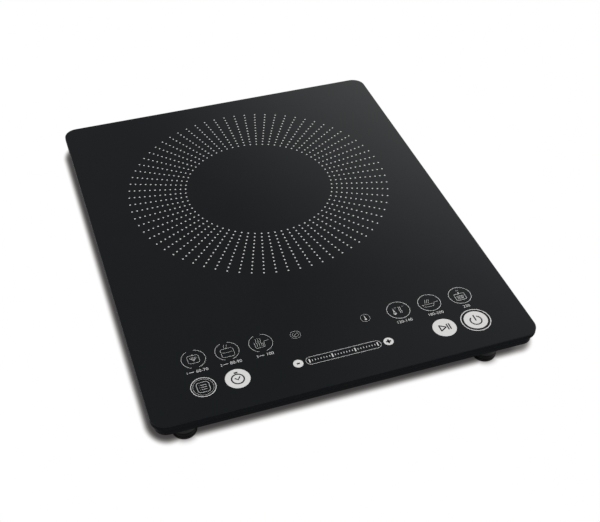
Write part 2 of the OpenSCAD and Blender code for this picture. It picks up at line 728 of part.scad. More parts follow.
// Tray: floor, sloping sides, bosses, posts, ribs and vents
module base_tray() color([0.07, 0.07, 0.075])
  difference() {
    union() {
      difference() {
        union() {
          tray_outer();
          for (x = [-1, 1], y = [-1, 1])
            translate([x * foot_x, y * foot_y, floor_z]) cylinder(r = foot_r, h = foot_boss_h);
          inlet_box(0, inlet_face);
        }
        tray_inner();
        inlet_box(inlet_cheek, inlet_face - inlet_wall);
        outlet_slots();
      }
      intersection() {
        tray_outer();
        for (p = HOUSING_SCREWS) at(p, floor_z) cylinder(r = boss_r, h = frame_z - floor_z);
      }
      for (x = [-1, 1], y = [-1, 1])
        post([x * foot_x, y * foot_y], foot_boss_r, floor_z + foot_boss_h + tray_wall);
      for (p = BOARD_POSTS) post(p, board_post_r, board_z);
      for (p = CONTROL_POSTS) post(p, control_post_r, control_z);
      for (a = EAR_ANGLES) post(ear(a), ear_r - 0.6, ear_z);
      for (a = LUG_ANGLES) {
        post(lug(a), post_r, carrier_z - spring_l);
        post(lug(a), pin_r, pin_top);
      }
      at_blower(floor_top - skin) ring(wheel_r, wheel_r - seat_ring_w, blower_seat + skin);
      for (x = [-rib_x, rib_x])
        translate([x - rib_w / 2, zone_y - rib_l / 2, floor_top - skin]) cube([rib_w, rib_l, rib_h]);
      for (y = [-rib_y, rib_y])
        translate([-rib_l / 2, zone_y + y - rib_w / 2, floor_top - skin]) cube([rib_l, rib_w, rib_h]);
    }
    intake_slots();
    for (p = HOUSING_SCREWS) {
      at(p, -cut) cylinder(r = recess_r, h = frame_z - boss_top + cut);
      at(p, 0) cylinder(r = screw_r + play, h = frame_z + cut);
    }
    for (x = [-1, 1], y = [-1, 1])
      translate([x * foot_x, y * foot_y, floor_z - cut]) cylinder(r = screw_r + fit, h = foot_boss_h + cut);
    for (p = BOARD_POSTS) pilot(p, small_r + fit, board_z, board_screw_l);
    for (p = CONTROL_POSTS) pilot(p, small_r + fit, control_z, control_screw_l);
    for (a = EAR_ANGLES) pilot(ear(a), small_r + fit, ear_z, blower_screw_l);
    for (a = LUG_ANGLES) pilot(lug(a), small_r + fit, pin_top, carrier_screw_l + cut);
    translate([inlet_x, inlet_face, inlet_z]) rotate([-90, 0, 0]) {
      translate([0, 0, -inlet_wall - cut]) cylinder(r = grommet_r, h = inlet_wall + 2 * cut);
      cylinder(r = grommet_flange_r + 1, h = back - inlet_face);
    }
    translate([-plate_size[0] / 2, zone_y - plate_size[1] / 2, floor_z - cut])
      block([plate_size[0], plate_size[1], cut + plate_depth], plate_r);
  }

// Rubber foot: a puck with a rounded lower edge and a recess for its screw
module foot(x, y) color([0.05, 0.05, 0.05])
  translate([x * foot_x, y * foot_y, 0])
    rotate_extrude()
      polygon(concat(
        [[screw_r + play, foot_recess], [recess_r, foot_recess], [recess_r, 0]],
        [for (a = [0:15:90]) [foot_tip_r + (foot_r - foot_tip_r) * sin(a), foot_round * (1 - cos(a))]],
        [[foot_r, foot_h], [screw_r + play, foot_h]]));

module foot_screws() color([0.6, 0.6, 0.62])
  for (x = [-1, 1], y = [-1, 1])
    translate([x * foot_x, y * foot_y, foot_recess])
      screw(screw_r, foot_screw_l, screw_head_r, screw_head_h);

module housing_screws() color([0.6, 0.6, 0.62])
  for (p = HOUSING_SCREWS)
    at(p, frame_z - boss_top)
      screw(screw_r, boss_top + pilot_depth - 0.5, screw_head_r, screw_head_h);

// Rubber bush that the mains cord passes through
module cord_grommet() color([0.04, 0.04, 0.04])
  translate([inlet_x, inlet_face + grommet_flange_t, inlet_z]) rotate([90, 0, 0])
    rotate_extrude()
      polygon([[cord_hole_r, -grommet_nose], [cord_hole_r + 1.6, -grommet_nose], [grommet_r, 0],
               [grommet_flange_r, 0], [grommet_flange_r, grommet_flange_t], [grommet_r, grommet_flange_t],
               [grommet_r, grommet_flange_t + inlet_wall], [grommet_r + 1, grommet_flange_t + inlet_wall],
               [grommet_r - 0.4, grommet_flange_t + inlet_wall + grommet_lip_t],
               [cord_hole_r, grommet_flange_t + inlet_wall + grommet_lip_t]]);

// ---------------------------------------------------------------- induction coil

// Plastic spider: hub, spokes and rim, with a channel under each spoke for a ferrite bar
module coil_carrier() color([0.2, 0.2, 0.2])
  difference() {
    union() {
      translate([0, zone_y, carrier_z]) {
        ring(hub_r, hub_hole_r, carrier_t);
        ring(carrier_r, carrier_r - ring_w, carrier_t);
        ring(carrier_r, carrier_r - lip_w, carrier_t + lip_h);
        for (i = [0:spokes - 1]) rotate([0, 0, i * 360 / spokes]) {
          translate([hub_r - 2, -spoke_w / 2, 0]) cube([carrier_r - hub_r, spoke_w, carrier_t]);
          for (s = [-1, 1])
            translate([ferrite_first_r, s * channel_y - channel_t / 2, -ferrite_t])
              cube([ferrite_l, channel_t, ferrite_t + skin]);
        }
      }
      for (a = LUG_ANGLES) translate([0, zone_y, carrier_z]) rotate([0, 0, a]) {
        translate([lug_from_centre, 0, 0]) cylinder(r = lug_r, h = carrier_t);
        translate([carrier_r - ring_w, -lug_r, 0])
          cube([lug_from_centre - carrier_r + ring_w, 2 * lug_r, carrier_t]);
      }
    }
    for (a = LUG_ANGLES)
      at(lug(a), carrier_z - cut) cylinder(r = lug_hole_r, h = carrier_t + 2 * cut);
  }

// Flat spiral of stranded wire, bonded turn to turn
module induction_coil() color([0.72, 0.42, 0.2])
  translate([0, zone_y, 0]) rotate_extrude() {
    for (i = [0:coil_turns - 1]) translate([coil_first_r + i * wire_pitch, coil_z + wire_r]) circle(wire_r);
    translate([coil_first_r, coil_z + wire_r - web_t / 2]) square([(coil_turns - 1) * wire_pitch, web_t]);
  }

module ferrite_bars() color([0.18, 0.18, 0.2])
  for (i = [0:spokes - 1]) translate([0, zone_y, carrier_z - ferrite_t]) rotate([0, 0, i * 360 / spokes])
    translate([ferrite_first_r, -ferrite_w / 2, 0]) cube([ferrite_l, ferrite_w, ferrite_t]);

module mica_sheet() color([0.78, 0.74, 0.62])
  translate([0, zone_y, mica_z]) ring(carrier_r - lip_w - play, mica_hole_r, mica_t);

module coil_springs() color([0.7, 0.7, 0.72])
  for (a = LUG_ANGLES) at(lug(a), carrier_z - spring_l)
    spring(spring_r, spring_wire_r, spring_l, spring_turns, spring_rings);

module carrier_screws() color([0.7, 0.7, 0.72])
  for (a = LUG_ANGLES) at(lug(a), pin_top)
    screw_down(small_r, carrier_screw_l, carrier_head_r, carrier_head_h);

// Silicone plug that holds the sensor against the glass
module thermistor_seat() color([0.85, 0.85, 0.82])
  translate([0, zone_y, 0]) {
    translate([0, 0, carrier_z - seat_flange_t]) cylinder(r = seat_flange_r, h = seat_flange_t);
    translate([0, 0, carrier_z]) cylinder(r = seat_r, h = glass_z - bead_t - carrier_z);
  }

module coil_thermistor() color([0.15, 0.35, 0.15])
  translate([0, zone_y, glass_z - bead_t]) cylinder(r = bead_r, h = bead_t);

// The two ends of the coil, each with a ring terminal
module coil_leads() color([0.75, 0.25, 0.12]) {
  wire(spline(INNER_LEAD, 2), lead_r);
  wire(spline(OUTER_LEAD, 2), lead_r);
  for (t = TERMINALS) at(t, ring_z) ring(ring_r, terminal_screw_r + fit, ring_t);
}

module thermistor_lead() color([0.9, 0.9, 0.88]) wire(spline(SENSOR_LEAD, 2), thin_r, 6);

// ---------------------------------------------------------------- main board

// Moves to a place on the board's top face, and z above it
module on_board(at, z = 0) translate([board_x0 + at[0], board_y0 + at[1], board_top + z]) children();

module insulation_sheet() color([0.9, 0.9, 0.85])
  difference() {
    translate([board_x0, board_y0, floor_top]) cube([board_w, board_d, sheet_t]);
    for (p = BOARD_POSTS) at(p, floor_top - cut) cylinder(r = board_post_r + play, h = sheet_t + 2 * cut);
  }

module main_board() color([0.15, 0.4, 0.2])
  difference() {
    translate([board_x0, board_y0, board_z]) block([board_w, board_d, board_t], 1.5);
    for (p = BOARD_POSTS) at(p, board_z - cut) cylinder(r = small_r + play, h = board_t + 2 * cut);
  }

module board_screws() color([0.75, 0.75, 0.76])
  for (p = BOARD_POSTS) at(p, board_top)
    screw_down(small_r, board_t + board_screw_l - 0.5, small_head_r, small_head_h);

// Extruded aluminium comb on two legs, cleared round its two screws
module heat_sink() color([0.75, 0.77, 0.8])
  difference() {
    translate([sink_x0, sink_y0, 0]) {
      translate([0, 0, sink_z]) cube([sink_l, sink_w, sink_base_t]);
      for (i = [0:sink_fins - 1])
        translate([0, i * (sink_w - fin_t) / (sink_fins - 1), sink_z])
          cube([sink_l, fin_t, sink_base_t + sink_fin_h]);
      for (y = [0, sink_w - leg_t])
        translate([0, y, board_top]) cube([sink_l, leg_t, sink_z - board_top + skin]);
    }
    for (p = DEVICE_SCREWS) {
      at(p, sink_z - cut) cylinder(r = small_r + fit, h = sink_base_t + 2 * cut);
      at(p, sink_z + sink_base_t) cylinder(r = small_head_r + 1, h = sink_fin_h + cut);
    }
  }

module power_transistor() color([0.1, 0.1, 0.1])
  translate([transistor_x, device_y, board_top])
    difference() {
      union() {
        translate([0, 0, device_gap]) cube([transistor_w, transistor_d, device_h]);
        for (i = [0:2]) translate([1.9 + i * 5.45, 0.6, 0]) cube([1.3, 0.7, device_gap + 1]);
      }
      translate([transistor_w / 2, transistor_d - tab_hole_y, -cut])
        cylinder(r = small_r + fit, h = device_h + 3 * cut);
    }

module bridge_rectifier() color([0.12, 0.12, 0.12])
  translate([bridge_x, device_y, board_top])
    difference() {
      union() {
        translate([0, 0, device_gap]) cube([bridge_w, bridge_d, device_h]);
        for (i = [0:3]) translate([2.5 + i * 6.6, 0.6, 0]) cube([1.2, 0.8, device_gap + 1]);
      }
      translate([bridge_w / 2, bridge_d / 2, -cut]) cylinder(r = small_r + fit, h = device_h + 3 * cut);
    }

module heat_sink_screws() color([0.75, 0.75, 0.76])
  for (p = DEVICE_SCREWS) at(p, sink_z + sink_base_t)
    screw_down(small_r, device_screw_l, small_head_r, small_head_h);

// Two film capacitors in rounded boxes, and a smaller one across the mains
module resonant_capacitor() color([0.1, 0.25, 0.55]) on_board(resonant_at) block(resonant_size);
module smoothing_capacitor() color([0.1, 0.25, 0.55]) on_board(smoothing_at) block(smoothing_size);
module filter_capacitor() color([0.85, 0.7, 0.15]) on_board(filter_at) block(filter_size);

// Toroid choke: a ring core with two wound sectors
module choke_core() color([0.2, 0.45, 0.3])
  on_board(choke_at, choke_wire) ring(choke_r, choke_hole_r, choke_h);

module choke_winding() color([0.75, 0.4, 0.15])
  on_board(choke_at)
    for (s = [0, 180], a = [-50:20:50]) rotate([0, 0, s + a])
      difference() {
        translate([choke_hole_r - choke_wire, -choke_wire / 2, 0])
          cube([choke_r - choke_hole_r + 2 * choke_wire, choke_wire, choke_h + 2 * choke_wire]);
        translate([0, 0, choke_wire]) ring(choke_r, choke_hole_r, choke_h);
      }

// Small transformer of the low-voltage supply: a bobbin between two halves of its core
module supply_transformer() color([0.85, 0.75, 0.3])
  on_board(transformer_at) {
    size = transformer_size;
    h = transformer_core_h;
    for (z = [0, size[2] - h]) translate([0, 0, z]) block([size[0], size[1], h], 0.8);
    translate([2, 3, h - skin]) cube([size[0] - 4, size[1] - 6, size[2] - 2 * h + 2 * skin]);
  }

module current_transformer() color([0.15, 0.15, 0.5])
  on_board(sensor_coil_at)
    difference() {
      block(sensor_coil_size);
      translate([sensor_coil_size[0] / 2, -cut, sensor_coil_size[2] / 2]) rotate([-90, 0, 0])
        cylinder(r = sensor_coil_hole_r, h = sensor_coil_size[1] + 2 * cut);
    }

module electrolytic_capacitors() color([0.12, 0.12, 0.14])
  for (p = ELECTROLYTICS) on_board(p) {
    cylinder(r = electrolytic_r, h = electrolytic_h - electrolytic_bevel);
    translate([0, 0, electrolytic_h - electrolytic_bevel])
      cylinder(r1 = electrolytic_r, r2 = electrolytic_r - electrolytic_bevel, h = electrolytic_bevel);
  }

// Disc on two legs
module varistor() color([0.1, 0.2, 0.6])
  on_board(varistor_at, varistor_lift) rotate([90, 0, 0]) {
    cylinder(r = varistor_r, h = varistor_t, center = true);
    for (x = [-3, 3]) translate([x - 0.4, -varistor_lift, -0.4]) cube([0.8, varistor_lift - 4, 0.8]);
  }

// Ceramic fuse between its two end caps
module mains_fuse() color([0.9, 0.9, 0.88])
  on_board(fuse_at, fuse_lift) rotate([0, 90, 0]) {
    cylinder(r = fuse_r, h = fuse_l);
    for (z = [0, fuse_l - fuse_cap_l]) translate([0, 0, z]) {
      cylinder(r = fuse_r + 0.3, h = fuse_cap_l);
      translate([0, -1, 1]) cube([fuse_lift, 2, 3]);
    }
  }

module mains_tabs() color([0.8, 0.8, 0.78])
  for (p = MAINS_TABS) on_board(p) {
    cube(tab_size);
    translate([-0.6, 1.6, 0]) cube([2, 3, 1]);
  }

module buzzer() color([0.08, 0.08, 0.08])
  on_board(buzzer_at)
    difference() {
      cylinder(r = buzzer_r, h = buzzer_h);
      translate([0, 0, buzzer_h - 2]) cylinder(r = 1, h = 2 + cut);
    }

module driver_chip() color([0.1, 0.1, 0.1])
  on_board(driver_at) {
    translate([0, 0, 0.2]) cube(driver_size);
    for (i = [0:driver_pins - 1], y = [-1, driver_size[1]])
      translate([0.7 + i * driver_pitch, y, 0]) cube([0.5, 1, 0.8]);
  }

module coil_terminals() color([0.85, 0.7, 0.35])
  for (t = TERMINALS) at(t, board_top) ring(terminal_r, terminal_screw_r + fit, terminal_h);

module terminal_screws() color([0.75, 0.75, 0.76])
  for (t = TERMINALS) at(t, ring_z + ring_t)
    screw_down(terminal_screw_r, terminal_h + ring_t - 0.5, terminal_head_r, terminal_head_h);

module board_connectors() color([0.92, 0.92, 0.9]) {
  for (p = [sensor_header, blower_header])
    translate([p[0] - small_header[0] / 2, p[1] - small_header[1] / 2, board_top]) cube(small_header);
  for (p = [[ribbon_y1, board_top], [ribbon_y2, ribbon_z2]])
    translate([ribbon_x - header_w / 2, p[0] - header_d / 2, p[1]]) cube([header_w, header_d, header_h]);
}

// ---------------------------------------------------------------- blower

function scroll_radius(a) = tongue_r + scroll_growth * (a - scroll_start) / (scroll_end - scroll_start);

// Outline of the scroll with its outlet to the left, grown by d
function scroll(d, reach) = concat(
  [for (a = [scroll_start:scroll_step:scroll_end]) (scroll_radius(a) + d) * [cos(a), sin(a)]],
  [[-reach, scroll_radius(scroll_end) + d], [-reach, tongue_r * sin(scroll_start) - d]]);

module at_blower(z) translate([wheel_x, wheel_y, z]) children();

// Scroll housing: floor with the air inlet, wall and three screw ears
module blower_housing() color([0.16, 0.16, 0.17])
  difference() {
    union() {
      at_blower(blower_z) linear_extrude(cover_z - blower_z) polygon(scroll(0, outlet_l));
      for (a = EAR_ANGLES) at(ear(a), ear_z) {
        cylinder(r = ear_r, h = ear_t);
        rotate([0, 0, a]) translate([-ear_reach - scroll_wall / 2, -ear_r, 0])
          cube([ear_reach, 2 * ear_r, ear_t]);
      }
    }
    at_blower(blower_z + scroll_wall) linear_extrude(cover_z - blower_z)
      polygon(scroll(-scroll_wall, outlet_l + cut));
    at_blower(blower_z - cut) cylinder(r = inlet_hole_r, h = scroll_wall + 2 * cut);
    for (a = EAR_ANGLES) at(ear(a), ear_z - cut) cylinder(r = small_r + play, h = ear_t + 2 * cut);
  }

// Cover of the scroll, with the tube that holds the bearing and the stator
module blower_cover() color([0.16, 0.16, 0.17])
  difference() {
    union() {
      at_blower(cover_z) linear_extrude(scroll_wall) polygon(scroll(0, outlet_l));
      at_blower(tube_z) cylinder(r = tube_r, h = cover_z - tube_z + skin);
    }
    at_blower(tube_z - cut) cylinder(r = bearing_r, h = cover_z - tube_z + cut - 0.6);
  }

// Forward-curved blades between the disc and a band, round a cup-shaped hub
module blower_wheel() color([0.1, 0.1, 0.1])
  at_blower(wheel_z)
    difference() {
      union() {
        cylinder(r = hub_out_r, h = wheel_h - disc_t + skin);
        translate([0, 0, wheel_h - disc_t]) cylinder(r = wheel_r, h = disc_t);
        linear_extrude(wheel_h - disc_t + skin)
          for (i = [0:blades - 1]) rotate([0, 0, i * 360 / blades]) blade();
        ring(wheel_r, wheel_r - 1.2, 1.2);
      }
      difference() {
        translate([0, 0, hub_wall]) cylinder(r = hub_in_r, h = wheel_h);
        cylinder(r = 3, h = hub_wall + 1);
      }
      translate([0, 0, -cut]) cylinder(r = shaft_r, h = wheel_h);
    }

// Plan of one blade: two curves from its inner to its outer edge
module blade() {
  inner = wheel_r - blade_depth;
  function edge(t, side) =
    let (r = inner + blade_depth * t, a = blade_sweep * t * t + side * blade_t / r * 90 / PI)
      r * [cos(a), sin(a)];
  tip = 0.99;        // stops just inside the wheel's rim
  polygon(concat([for (i = [0:4]) edge(tip * i / 4, -1)], [for (i = [4:-1:0]) edge(tip * i / 4, 1)]));
}

module blower_shaft() color([0.8, 0.8, 0.82])
  at_blower(wheel_z) cylinder(r = shaft_r, h = cover_z - wheel_z - 1);

module blower_magnet() color([0.3, 0.28, 0.28])
  at_blower(wheel_z + hub_wall) ring(hub_in_r, hub_in_r - magnet_t, wheel_h - hub_wall - 0.5);

module blower_bearing() color([0.8, 0.6, 0.3])
  at_blower(tube_z + 0.5) ring(bearing_r, shaft_r + shaft_clear, cover_z - tube_z - 1.1);

// Laminated four-pole core with its windings
module blower_stator() color([0.65, 0.45, 0.3])
  at_blower(wheel_z + stator_lift)
    difference() {
      union() {
        cylinder(r = tube_r + 1.5, h = stator_h);
        for (a = [0:90:270]) rotate([0, 0, a]) {
          translate([0, -1.5, 0]) cube([pole_r - 1, 3, stator_h]);
          translate([tube_r + 1.6, -2.8, 0.2]) cube([pole_r - tube_r - 3.4, 5.6, stator_h - 0.4]);
        }
        difference() {
          ring(pole_r, pole_r - 1.2, stator_h);
          for (a = [45, 135]) rotate([0, 0, a]) translate([-pole_r - cut, -1, -cut])
            cube([2 * (pole_r + cut), 2, stator_h + 2 * cut]);
        }
      }
      translate([0, 0, -cut]) cylinder(r = tube_r, h = stator_h + 2 * cut);
    }

module blower_screws() color([0.75, 0.75, 0.76])
  for (a = EAR_ANGLES) at(ear(a), ear_z + ear_t)
    screw_down(small_r, ear_t + blower_screw_l - 0.5, small_head_r, small_head_h);

module blower_lead() color([0.85, 0.2, 0.15]) wire(spline(BLOWER_LEAD, 2), thin_r, 6);

// ---------------------------------------------------------------- controls

module control_board() color([0.1, 0.35, 0.18])
  difference() {
    translate([-control_half_w, control_front, control_z])
      cube([2 * control_half_w, control_back - control_front, control_t]);
    for (s = [-1, 1])
      translate([s * control_half_w - control_notch_x, control_front - control_notch_y, control_z - cut])
        cube([2 * control_notch_x, 2 * control_notch_y, control_t + 2 * cut]);
    translate([-boss_r - 1, control_front - cut, control_z - cut])
      cube([2 * boss_r + 2, front + screw_inset + boss_r + 1 - control_front + cut, control_t + 2 * cut]);
    for (p = CONTROL_POSTS) at(p, control_z - cut) cylinder(r = small_r + play, h = control_t + 2 * cut);
  }

module touch_springs() color([0.85, 0.75, 0.45])
  for (p = KEYS) at(p, control_top)
    spring(abs(p[0]) > step_key_x ? touch_r : slider_spring_r, touch_wire_r, touch_h,
           touch_turns, touch_rings, 5);

module indicator_lamps() color([0.95, 0.95, 0.8])
  for (p = LAMPS)
    translate([p[0] - lamp_w / 2, p[1] - lamp_w / 2, control_top]) cube([lamp_w, lamp_w, lamp_h]);

module light_guides() color([0.95, 0.95, 0.95])
  for (s = [-1, 1]) translate([s * lamp_x, row_high_y, control_top])
    difference() {
      translate([-guide_w / 2, -guide_w / 2, 0]) block([guide_w, guide_w, touch_h - play], 1);
      translate([-guide_hole / 2, -guide_hole / 2, -cut]) cube([guide_hole, guide_hole, touch_h + 2 * cut]);
    }

module touch_chip() color([0.1, 0.1, 0.1])
  translate([touch_chip_x, row_low_y + touch_chip_y, control_z - touch_chip_size[2]]) cube(touch_chip_size);

module control_screws() color([0.75, 0.75, 0.76])
  for (p = CONTROL_POSTS) at(p, control_top)
    screw_down(small_r, control_t + control_screw_l - 0.5, small_head_r, small_head_h);

// Flat cable that bends twice on its way from the main board up to the control board
module ribbon_cable() color([0.75, 0.75, 0.78])
  translate([ribbon_x - ribbon_w / 2, 0, 0]) rotate([90, 0, 90]) linear_extrude(ribbon_w) {
    b = ribbon_bend;
    h = ribbon_t / 2;
    mid = (ribbon_z1 + ribbon_z2) / 2;
    translate([ribbon_y1 - h, ribbon_z1]) square([ribbon_t, mid - b - ribbon_z1 + skin]);
    translate([ribbon_y1 + b, mid - h]) square([ribbon_y2 - ribbon_y1 - 2 * b, ribbon_t]);
    translate([ribbon_y2 - h, mid + b - skin]) square([ribbon_t, ribbon_z2 - mid - b + skin]);
    intersection() {
      translate([ribbon_y1 + b, mid - b]) difference() { circle(b + h); circle(b - h); }
      translate([ribbon_y1 - h, mid - b]) square([b + h, b + h]);
    }
    intersection() {
      translate([ribbon_y2 - b, mid + b]) difference() { circle(b + h); circle(b - h); }
      translate([ribbon_y2 - b, mid - h]) square([b + h, b + h]);
    }
  }

// ---------------------------------------------------------------- assembly

glass_plate();
glass_seal();
top_frame();
base_tray();
foot(-1, -1);  // foot_front_left
foot(1, -1);  // foot_front_right
foot(-1, 1);  // foot_rear_left
foot(1, 1);  // foot_rear_right
foot_screws();
housing_screws();
cord_grommet();
coil_carrier();
induction_coil();
ferrite_bars();
mica_sheet();
coil_springs();
carrier_screws();
thermistor_seat();
coil_thermistor();
coil_leads();
thermistor_lead();
insulation_sheet();
main_board();
board_screws();
heat_sink();
power_transistor();
bridge_rectifier();
heat_sink_screws();
resonant_capacitor();
smoothing_capacitor();
filter_capacitor();
choke_core();
choke_winding();
supply_transformer();
current_transformer();
electrolytic_capacitors();
varistor();
mains_fuse();
mains_tabs();
buzzer();
driver_chip();
coil_terminals();
terminal_screws();
board_connectors();
blower_housing();
blower_cover();
blower_wheel();
blower_shaft();
blower_magnet();
blower_bearing();
blower_stator();
blower_screws();
blower_lead();
control_board();
touch_springs();
indicator_lamps();
light_guides();
touch_chip();
control_screws();
ribbon_cable();
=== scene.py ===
from math import cos, hypot, pi, radians, sin

import bmesh
import bpy
from mathutils import Matrix, Vector


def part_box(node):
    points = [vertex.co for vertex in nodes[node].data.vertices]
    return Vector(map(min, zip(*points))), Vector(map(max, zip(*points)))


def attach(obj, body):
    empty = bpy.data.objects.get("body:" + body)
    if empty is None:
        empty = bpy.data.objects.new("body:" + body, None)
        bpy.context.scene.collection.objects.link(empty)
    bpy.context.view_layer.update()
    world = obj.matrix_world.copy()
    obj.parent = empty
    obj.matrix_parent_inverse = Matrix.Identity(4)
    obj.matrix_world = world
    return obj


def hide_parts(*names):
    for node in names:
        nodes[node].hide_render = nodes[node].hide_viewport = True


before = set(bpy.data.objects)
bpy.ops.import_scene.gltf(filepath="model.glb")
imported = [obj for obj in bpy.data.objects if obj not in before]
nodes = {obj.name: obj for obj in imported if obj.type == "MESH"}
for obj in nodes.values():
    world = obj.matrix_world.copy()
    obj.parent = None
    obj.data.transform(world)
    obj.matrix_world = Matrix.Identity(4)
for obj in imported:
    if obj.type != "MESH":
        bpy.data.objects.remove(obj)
scene = bpy.context.scene
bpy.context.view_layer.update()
MM = 0.001

# ------------------------------------------------------------------ camera
# A long lens in front of the hob and a little to its left, looking down on the cooking zone.
# The picture is level: the camera's own X axis lies within a degree of the worktop.
camera = bpy.data.objects.new("studio_camera", bpy.data.cameras.new("studio_camera"))
camera.data.sensor_width = 36
camera.data.lens = 62.66
camera.data.clip_start = 0.02
camera.data.shift_x, camera.data.shift_y = -0.0008, 0.0008
right, up, behind = (0.9467, -0.3222, 0.0055), (0.2099, 0.6295, 0.7481), (-0.2445, -0.7070, 0.6636)
camera.matrix_world = Matrix((right, up, behind)).transposed().to_4x4()
camera.location = (-0.19112, -0.61248, 0.56913)
scene.collection.objects.link(camera)
scene.camera = camera


# ------------------------------------------------------------------ glass plate
# One sheet of black glass-ceramic, 4 mm thick. Its top is polished, and its edge is ground
# round and left matt. It lies on the silicone bead of the rim, and no frame stands round it.
def add(tree, kind, feeds={}, **settings):
    """Adds a node to a tree. feeds gives its sockets, each a value or another node's output."""
    node = tree.nodes.new(kind)
    for key, value in settings.items():
        setattr(node, key, value)
    for socket, value in feeds.items():
        if isinstance(value, bpy.types.NodeSocket):
            tree.links.new(value, node.inputs[socket])
        else:
            node.inputs[socket].default_value = value
    return node


def finish(name, dark, light, grain, rough, depth=0.0, specular=0.5, metallic=0.0,
           stretch=(1, 1, 1), detail=3.0):
    """A material that wanders in colour and roughness over that grain, with a bump so deep."""
    made = bpy.data.materials.new(name)
    made.use_nodes = True
    tree = made.node_tree
    shader = tree.nodes["Principled BSDF"]
    shader.inputs["Metallic"].default_value = metallic
    shader.inputs["Specular IOR Level"].default_value = specular
    place = add(tree, "ShaderNodeTexCoord")
    spread = add(tree, "ShaderNodeMapping", {"Vector": place.outputs["Object"], "Scale": stretch})
    cloud = add(tree, "ShaderNodeTexNoise",
                {"Vector": spread.outputs[0], "Scale": 1 / grain, "Detail": detail})
    ramp = add(tree, "ShaderNodeValToRGB", {"Fac": cloud.outputs["Fac"]})
    ramp.color_ramp.elements[0].position, ramp.color_ramp.elements[1].position = 0.3, 0.7
    ramp.color_ramp.elements[0].color = (*dark, 1)
    ramp.color_ramp.elements[1].color = (*light, 1)
    tree.links.new(ramp.outputs["Color"], shader.inputs["Base Color"])
    sheen = add(tree, "ShaderNodeMapRange",
                {"Value": cloud.outputs["Fac"], "To Min": rough[0], "To Max": rough[1]})
    tree.links.new(sheen.outputs[0], shader.inputs["Roughness"])
    if depth:
        bump = add(tree, "ShaderNodeBump",
                   {"Height": cloud.outputs["Fac"], "Distance": depth, "Strength": 1.0})
        tree.links.new(bump.outputs[0], shader.inputs["Normal"])
    return made


def smooth(piece, angle=40):
    """Shades a piece smoothly, except over edges sharper than the angle."""
    piece.data.shade_smooth()
    piece.data.set_sharp_from_angle(angle=radians(angle))
    return piece


def placed(name, mesh, *materials):
    """Puts a finished mesh in the scene as a piece of that name."""
    piece = bpy.data.objects.new(name, mesh)
    for material in materials:
        mesh.materials.append(material)
    scene.collection.objects.link(piece)
    return piece


glass_low, glass_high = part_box("glass_plate")
glass_top = glass_high.z
corner_r = 11 * MM
corner_steps = 20
edge_r = 0.6 * MM          # rounding of the ground edge
edge_steps = 6
polished_steps = 4         # how many of them, from the top, are polished with the face


def plate_ring(inset):
    """The plate's outline, drawn in by a distance, from the middle of its right side."""
    r = corner_r - inset
    points = []
    for quarter, (sx, sy) in enumerate(((1, 1), (-1, 1), (-1, -1), (1, -1))):
        for step in range(corner_steps + 1):
            a = (quarter + step / corner_steps) * pi / 2
            points.append((sx * (glass_high.x - corner_r) + r * cos(a),
                           sy * (glass_high.y - corner_r) + r * sin(a)))
    return points


glass_profile = [(edge_r * (1 - sin(a)), glass_low.z + edge_r * (1 - cos(a)))
                 for a in (pi / 2 * step / edge_steps for step in range(edge_steps + 1))]
glass_profile += [(inset, glass_low.z + glass_top - z) for inset, z in reversed(glass_profile)]
glass_mesh = bmesh.new()
rings = [[glass_mesh.verts.new((x, y, z)) for x, y in plate_ring(inset)]
         for inset, z in glass_profile]
count = len(rings[0])
for level, (low, high) in enumerate(zip(rings, rings[1:])):
    for i in range(count):
        face = glass_mesh.faces.new((low[i], low[(i + 1) % count], high[(i + 1) % count], high[i]))
        face.material_index = int(level < len(rings) - 1 - polished_steps)
flats = [glass_mesh.faces.new(rings[-1]), glass_mesh.faces.new(list(reversed(rings[0])))]
for flat in flats:
    for edge in flat.edges:
        edge.smooth = False
mesh = bpy.data.meshes.new("black_glass_plate")
glass_mesh.to_mesh(mesh)
glass_mesh.free()
polished = finish("polished black glass", (0.0048, 0.0064, 0.0076), (0.0054, 0.0070, 0.0084),
                  40 * MM, (0.03, 0.06))
ground = finish("ground glass edge", (0.0060, 0.0072, 0.0086), (0.0078, 0.0090, 0.0104),
                1.5 * MM, (0.32, 0.45), depth=0.004 * MM, specular=0.003)
glass = placed("black_glass_plate", mesh, polished, ground)
for polygon in mesh.polygons:
    polygon.use_smooth = True
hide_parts("glass_plate")
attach(glass, "hob")


# ------------------------------------------------------------------ cooking zone print
# Twelve rings of seventy-two dots, fired on the glass in white enamel, stand in rays round
# the place of the pan. Each dot is a round pad of ink a few hundredths of a millimetre high.
def new_tree(name, *inputs):
    """A Geometry Nodes tree with named inputs, and the sockets that they come in by."""
    tree = bpy.data.node_groups.new(name, "GeometryNodeTree")
    tree.is_modifier = True
    tree.interface.new_socket("Geometry", in_out="OUTPUT", socket_type="NodeSocketGeometry")
    tree.interface.new_socket("Geometry", in_out="INPUT", socket_type="NodeSocketGeometry")
    for label, kind in inputs + (("Finish", "Material"),):
        tree.interface.new_socket(label, in_out="INPUT", socket_type="NodeSocket" + kind)
    return tree, tree.nodes.new("NodeGroupInput").outputs


def close_tree(tree, shape, entry):
    """Ends a tree: instances made real, and the finish set."""
    real = add(tree, "GeometryNodeRealizeInstances", {0: shape})
    dressed = add(tree, "GeometryNodeSetMaterial",
                  {0: real.outputs[0], "Material": entry["Finish"]})
    add(tree, "NodeGroupOutput", {0: dressed.outputs[0]})


def sums(tree, operation, a, b=0.0):
    """A Math node's result."""
    return add(tree, "ShaderNodeMath", {0: a, 1: b}, operation=operation).outputs[0]


def vectors(tree, operation, a, b=(0, 0, 0)):
    """A Vector Math node's results: a vector by number 0, or a number by the name Value."""
    return add(tree, "ShaderNodeVectorMath", {0: a, 1: b}, operation=operation).outputs


